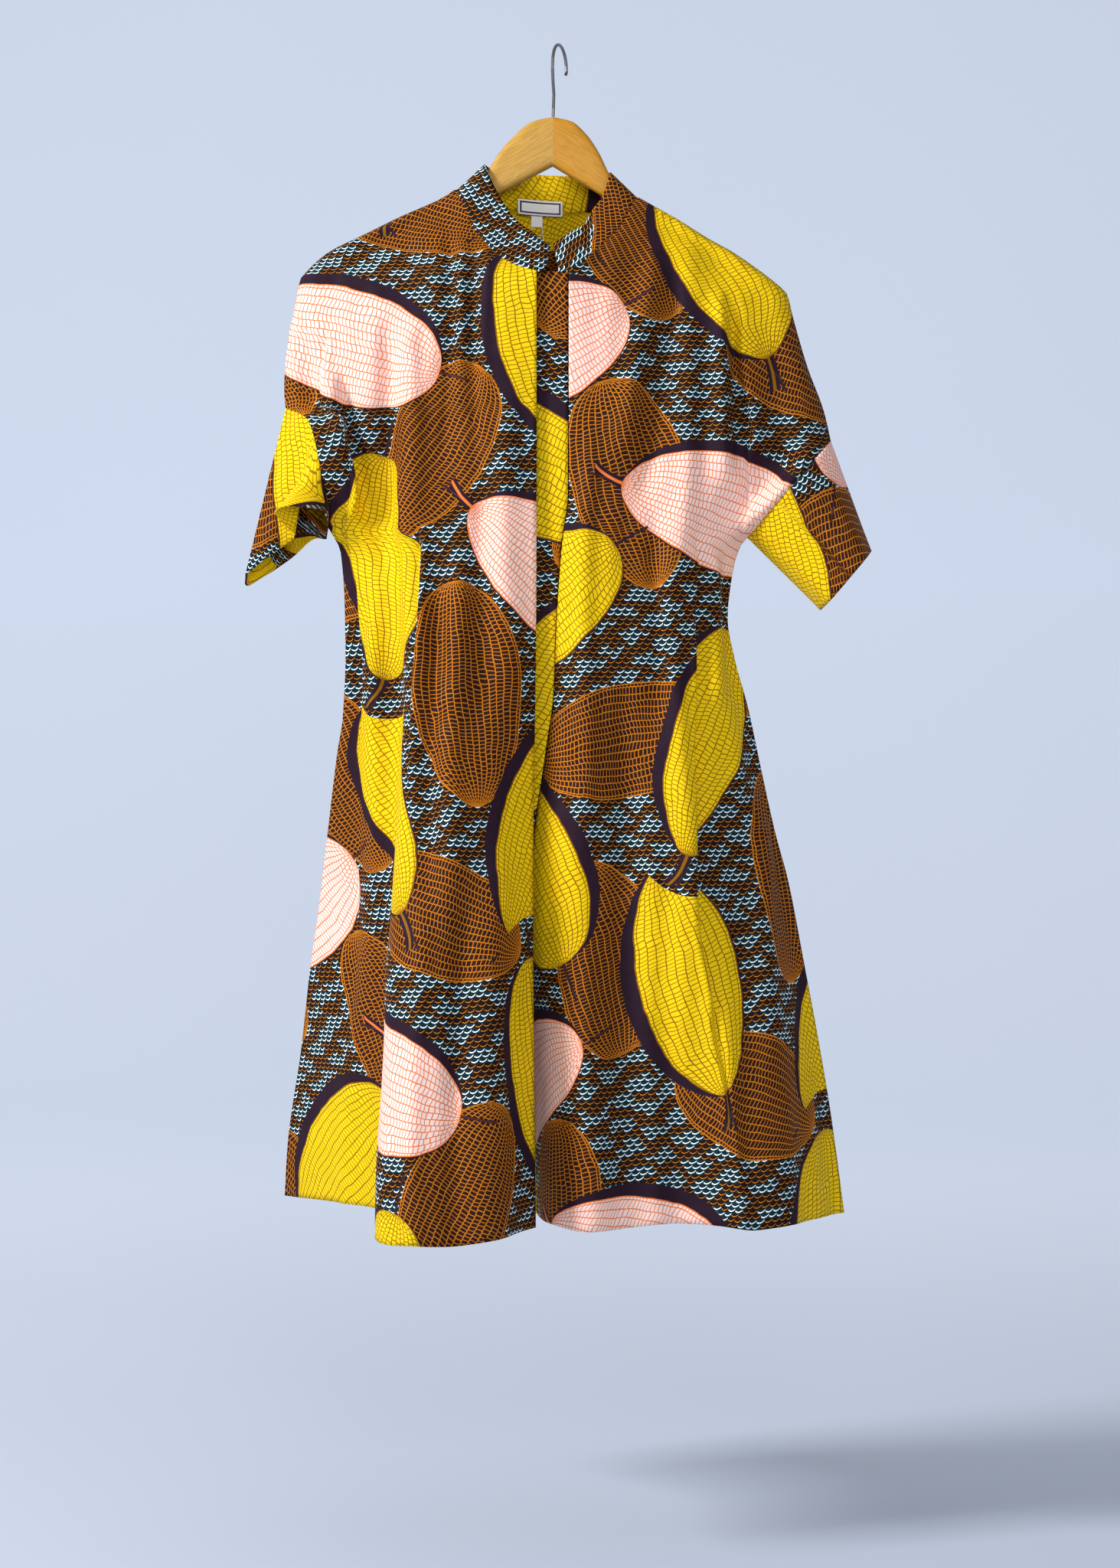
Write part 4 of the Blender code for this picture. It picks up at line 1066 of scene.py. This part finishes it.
def make_back(panels):
    """The back, its two sides joined on the centre line."""
    left, left_u, left_v, drops = panels["left", "back"]
    right, right_u, right_v, right_drops = panels["right", "back"]
    first = drops.index(ROWS[0])
    right_first = right_drops.index(ROWS[0])
    middle = (left[first:, 0] + right[right_first:, 0]) / 2
    left[first:, 0] = middle
    right[right_first:, 0] = middle
    faces = grid_faces(*left.shape[:2])
    faces += [quad[::-1] for quad in grid_faces(*right.shape[:2], start=left.shape[0] * left.shape[1])]
    mesh = new_mesh("back_cloth", np.concatenate([left.reshape(-1, 3), right.reshape(-1, 3)]), faces)
    u = np.concatenate([left_u.reshape(-1), right_u.reshape(-1)])
    v = np.concatenate([left_v.reshape(-1), right_v.reshape(-1)])
    layer = mesh.uv_layers.new(name="cloth")
    for loop in mesh.loops:
        layer.data[loop.index].uv = (-u[loop.vertex_index], -v[loop.vertex_index])
    tidy_normals(mesh, CENTRE_WELD)
    piece = cloth_object("back_cloth", mesh, CLOTH_THICK, "back", print_material("back"))


def edge_point(edge, share):
    """Point of an edge at a share of its length."""
    along = run_along(edge)
    return np.array([np.interp(share * along[-1], along, edge[:, axis]) for axis in range(3)])


def make_sleeve(side, panels):
    """The lower sleeve, from the panels' seam edges to the cuff."""
    drops = panels[side, "front"][3]
    first = SHOULDER[side][-1][0] - 0.001
    last = SIDE_SEAM[side][0][0] + 0.001
    rows = [i for i, d in enumerate(drops) if first <= d <= last]
    edges = {face: panels[side, face][0][rows, -1] for face in FACING}
    count = SLEEVE_COLUMNS
    places = [("front", k / count) for k in range(count + 1)]
    places += [("back", k / count) for k in range(count - 1, 0, -1)]
    mouth = np.array([edge_point(edges[face], share) for face, share in places])
    cuff = np.array([cuff_point(side, face, share) for face, share in places])
    lengths = run_along(np.concatenate([mouth, mouth[:1]]))
    around = float(lengths[-1])
    shares = lengths[:-1] / around
    steps = np.arange(len(mouth))
    rings = []
    jumps = []
    for k in range(SLEEVE_RINGS):
        share = k / (SLEEVE_RINGS - 1)
        ring = mouth + (cuff - mouth) * share
        out = ring - ring.mean(axis=0)
        out = out / np.maximum(np.linalg.norm(out, axis=1), 1e-6)[:, None]
        lift = np.zeros(len(ring))
        for place, wide, height, shift in SLEEVE_FOLDS:
            if side == "right" or place > 0.5:
                off = (shares - place - shift * share + 0.5) % 1.0 - 0.5
                lift += height * np.exp(-(off / wide) ** 2)
        lift *= np.minimum(1.0, np.minimum(shares, 1 - shares) / 0.06) * 0.8
        jump = np.zeros(len(ring))
        if side == "right":
            at_mouth, at_cuff, hidden = SLEEVE_TUCK
            off = (steps / count - at_mouth - (at_cuff - at_mouth) * share) * lengths[count] / MM
            off = np.where(steps > count, 999.0, off)
            step = soft_step(-off, -1.5, 1.5)
            edge = 2.5 * np.exp(-((off - 5) / 5) ** 2)
            lift += math.sqrt(hidden / TUCK_FULL) * (edge - 5.0 * step * np.exp(-np.maximum(-off, 0) / 14))
            jump += hidden * MM * (1 - step) * (steps <= count)
        fade = math.sin(math.pi * min(share, 0.62) / 1.24)
        rings.append(ring + out * (lift * fade)[:, None] * MM)
        jumps.append(jump)
    grid = np.array(rings)
    length = np.linalg.norm(cuff - mouth, axis=1)
    u = run_along(grid) + np.array(jumps)
    v = np.array([length * (k / (SLEEVE_RINGS - 1)) for k in range(SLEEVE_RINGS)])
    ring = grid[SLEEVE_RINGS // 2]
    piece = printed_piece("sleeve_" + side, grid, u, v, ring[count] - ring.mean(axis=0), around=around)


def make_collar(panels):
    """The collar band, of two layers, from the neckline to its top edge."""
    foot = [to_world((COLLAR_END_LEFT[0], COLLAR_END_LEFT[2], COLLAR_END_LEFT[1]))]
    for side in SIGN:
        drops = panels[side, "front"][3]
        neck = sum(d <= NECK[side, "front"][-1][0] + 0.001 for d in drops)
        back = drops.index(ROWS[0])
        if side == "left":
            foot += [panels[side, "front"][0][i, 0] for i in reversed(range(neck))]
            foot += [panels[side, "back"][0][i, 0] for i in range(back + 1)]
        else:
            foot += [panels[side, "back"][0][i, 0] for i in reversed(range(back))]
            foot += [panels[side, "front"][0][i, 0] for i in range(neck)]
    foot = np.array(foot + [to_world((COLLAR_END_RIGHT[0], COLLAR_END_RIGHT[2], COLLAR_END_RIGHT[1]))])
    top = [(x, forward, drop) for x, drop, forward in COLLAR_TOP]
    edge = np.array([to_world(along_curve(top, s)) for s in arc_shares(foot)])
    steps = [k / (COLLAR_RINGS - 1) for k in range(COLLAR_RINGS)]
    grid = np.array([foot + (edge - foot) * s for s in steps])
    length = run_along(foot)
    u = np.tile(length, (COLLAR_RINGS, 1))
    v = np.array([np.linalg.norm(edge - foot, axis=1) * (1 - s) for s in steps])
    seen = grid[COLLAR_RINGS // 2, len(foot) // 2] - grid.mean(axis=(0, 1))
    piece = printed_piece("collar", grid, u, v, seen, COLLAR_THICK)


def make_placket():
    """The button stand under the left front's edge."""
    drops = split_rows([d for d in ROWS if d >= NECK["right", "front"][-1][0]])
    count = PLACKET_COLUMNS
    rows = []
    for drop in drops:
        x, forward = inner_edge("right", "front", drop)
        near = to_world((x - PLACKET_GAP, forward, drop))
        far = to_world((x - PLACKET_WIDTH, read_table(PLACKET_HIDDEN, drop), drop))
        rows.append([near + (far - near) * (k / count) for k in range(count + 1)])
    u, v = np.meshgrid(np.linspace(0, PLACKET_WIDTH * MM, count + 1), np.array(drops) * MM)
    piece = printed_piece("placket", np.array(rows), u, v, AHEAD, COLLAR_THICK)


def make_tape(name, spec, node):
    """The label or size tab, a thin tape with its own border coordinate."""
    left, right, height, drop_from, behind, bow = spec
    u, v = np.meshgrid(np.linspace(0, 1, TRIM_COLUMNS + 1), np.linspace(0, -1, TRIM_ROWS + 1))
    x = left + (right - left) * u
    drop = drop_from - height * v + x * TRIM_TILT
    grid = to_world(np.stack([x, behind + bow * (x / LABEL[0]) ** 2 + TRIM_LIFT, drop], axis=-1))
    material = tape_material(name + "_tape", node == "label")
    cloth_piece(name, grid, u, v, AHEAD, TAPE_THICK, node, material)


def make_thread(name, points):
    """A loose end of sewing thread."""
    curve = bpy.data.curves.new(name, "CURVE")
    curve.dimensions = "3D"
    curve.bevel_depth = THREAD_RADIUS
    curve.bevel_resolution = 3
    curve.use_fill_caps = True
    spline = curve.splines.new("POLY")
    spline.points.add(THREAD_STEPS)
    for k, spot in enumerate(spline.points):
        spot.co = (*to_world(along_curve(points, k / THREAD_STEPS)), 1.0)
    piece = add_object(name, curve)
    curve.materials.append(tape_material(name + "_cotton", False))
    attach(piece, "root")


def arm_section(reach, top, bottom, half, sign):
    """Points round one upright section of a hanger arm."""
    places, face_powers, top_powers = zip(*ARM_ROUNDNESS)
    face_power = np.interp(reach, places, face_powers)
    top_power = np.interp(reach, places, top_powers)
    forward = shoulder_forward(reach)
    points = []
    for k in range(ARM_SIDES):
        angle = 2 * math.pi * k / ARM_SIDES
        face = math.copysign(abs(math.cos(angle)) ** face_power, math.cos(angle))
        rise = math.copysign(abs(math.sin(angle)) ** top_power, math.sin(angle))
        points.append((sign * reach, forward + half * face, (top + bottom) / 2 - (bottom - top) / 2 * rise))
    return points


def make_arm(side):
    """One half of the hanger with a smooth sweep and a turned grain."""
    start = ARM_TO_COLLAR[side]
    slope = [row for row in SHOULDER[side] if row[1] <= ARM_REACH_MOST[side]]
    slope_drops, slope_reaches = zip(*slope)
    tip = slope[-1][1] - ARM_SHORT_OF_SHOULDER
    sections = list(start)
    first = ARM_FIRST_REACH[side]
    last = tip - ARM_TIP_ROUND
    for reach in [first + (last - first) * k / ARM_SECTIONS for k in range(ARM_SECTIONS + 1)]:
        share = (reach - first) / (tip - first)
        top = np.interp(reach, slope_reaches, slope_drops) + ARM_CLEARANCE
        height, half = (a + (b - a) * share for a, b in (ARM_HEIGHTS, ARM_HALVES))
        sections.append((reach, top, top + height, half))
    knots, tops, bottoms, halves = zip(*sections)
    points = []
    for reach in [ARM_JOINT + (tip - ARM_JOINT) * k / ARM_FINE for k in range(ARM_FINE + 1)]:
        top, bottom, half = (float(smooth_through(knots, row, reach)) for row in (tops, bottoms, halves))
        if reach < start[3][0]:
            bottom = np.interp(reach, knots, bottoms)
        shrink = math.sqrt(max(ARM_TIP_SHARE / 3, min(1.0, (tip - reach) / ARM_TIP_ROUND)))
        middle = (top + bottom) / 2
        tall = (bottom - top) / 2 * shrink
        points += arm_section(reach, middle - tall, middle + tall, half * shrink, SIGN[side])
    faces = grid_faces(ARM_FINE + 1, ARM_SIDES, True)
    faces.append(tuple(range(ARM_SIDES)))
    faces.append(tuple(range(len(points) - ARM_SIDES, len(points))))
    mesh = new_mesh("arm_" + side, to_world(points), faces)
    tidy_normals(mesh)
    mesh.shade_smooth()
    mesh.set_sharp_from_angle(angle=ARM_SHARP)
    mesh.materials.append(wood_material(side))
    piece = add_object("arm_" + side, mesh)
    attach(piece, "root")
    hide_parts("hanger_" + side)


def make_studio():
    """A pale floor that curves up into a pale wall, soft lamps and the camera."""
    profile = [(-FLOOR_FRONT, FLOOR_Z), (WALL_BEHIND - COVE, FLOOR_Z)]
    for k in range(1, COVE_STEPS + 1):
        angle = math.pi / 2 * k / COVE_STEPS
        profile.append((WALL_BEHIND - COVE + COVE * math.sin(angle), FLOOR_Z + COVE - COVE * math.cos(angle)))
    profile.append((WALL_BEHIND, WALL_TOP))
    points = [(x, y, z) for y, z in profile for x in (-FLOOR_HALF, FLOOR_HALF)]
    faces = [(2 * k, 2 * k + 1, 2 * k + 3, 2 * k + 2) for k in range(len(profile) - 1)]
    mesh = new_mesh("floor", points, faces)
    mesh.shade_smooth()
    mesh.materials.append(painted_light_floor_material())
    add_object("floor", mesh)
    for name, (place, size, power, colour) in LAMPS.items():
        lamp = bpy.data.lights.new(name, "AREA")
        lamp.size = size
        lamp.energy = power
        lamp.color = colour
        thing = add_object(name, lamp)
        thing.location = place
        thing.rotation_euler = (LAMP_AIM - Vector(place)).to_track_quat("-Z", "Y").to_euler()
    scene = bpy.context.scene
    world = bpy.data.worlds.new("studio")
    world.use_nodes = True
    sky = world.node_tree.nodes["Background"].inputs
    sky[0].default_value = SKY_COLOUR
    sky[1].default_value = SKY_STRENGTH
    scene.world = world
    scene.view_settings.view_transform = "Standard"
    camera = bpy.data.cameras.new("camera")
    camera.lens = CAMERA_LENS
    camera.sensor_width = 36.0
    view = add_object("camera", camera)
    view.location = CAMERA_PLACE
    view.rotation_euler = (math.radians(90), 0, 0)
    scene.camera = view


panels = make_body()
make_sleeve("left", panels)
make_sleeve("right", panels)
make_collar(panels)
make_placket()
make_tape("label_tape", LABEL, "label")
make_tape("size_tape", SIZE_TAB, "size_tab")
for name, points in THREADS.items():
    make_thread(name, points)
make_arm("left")
make_arm("right")
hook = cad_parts["hook"]
hook.data.materials.clear()
hook.data.materials.append(wire_material())
make_studio()
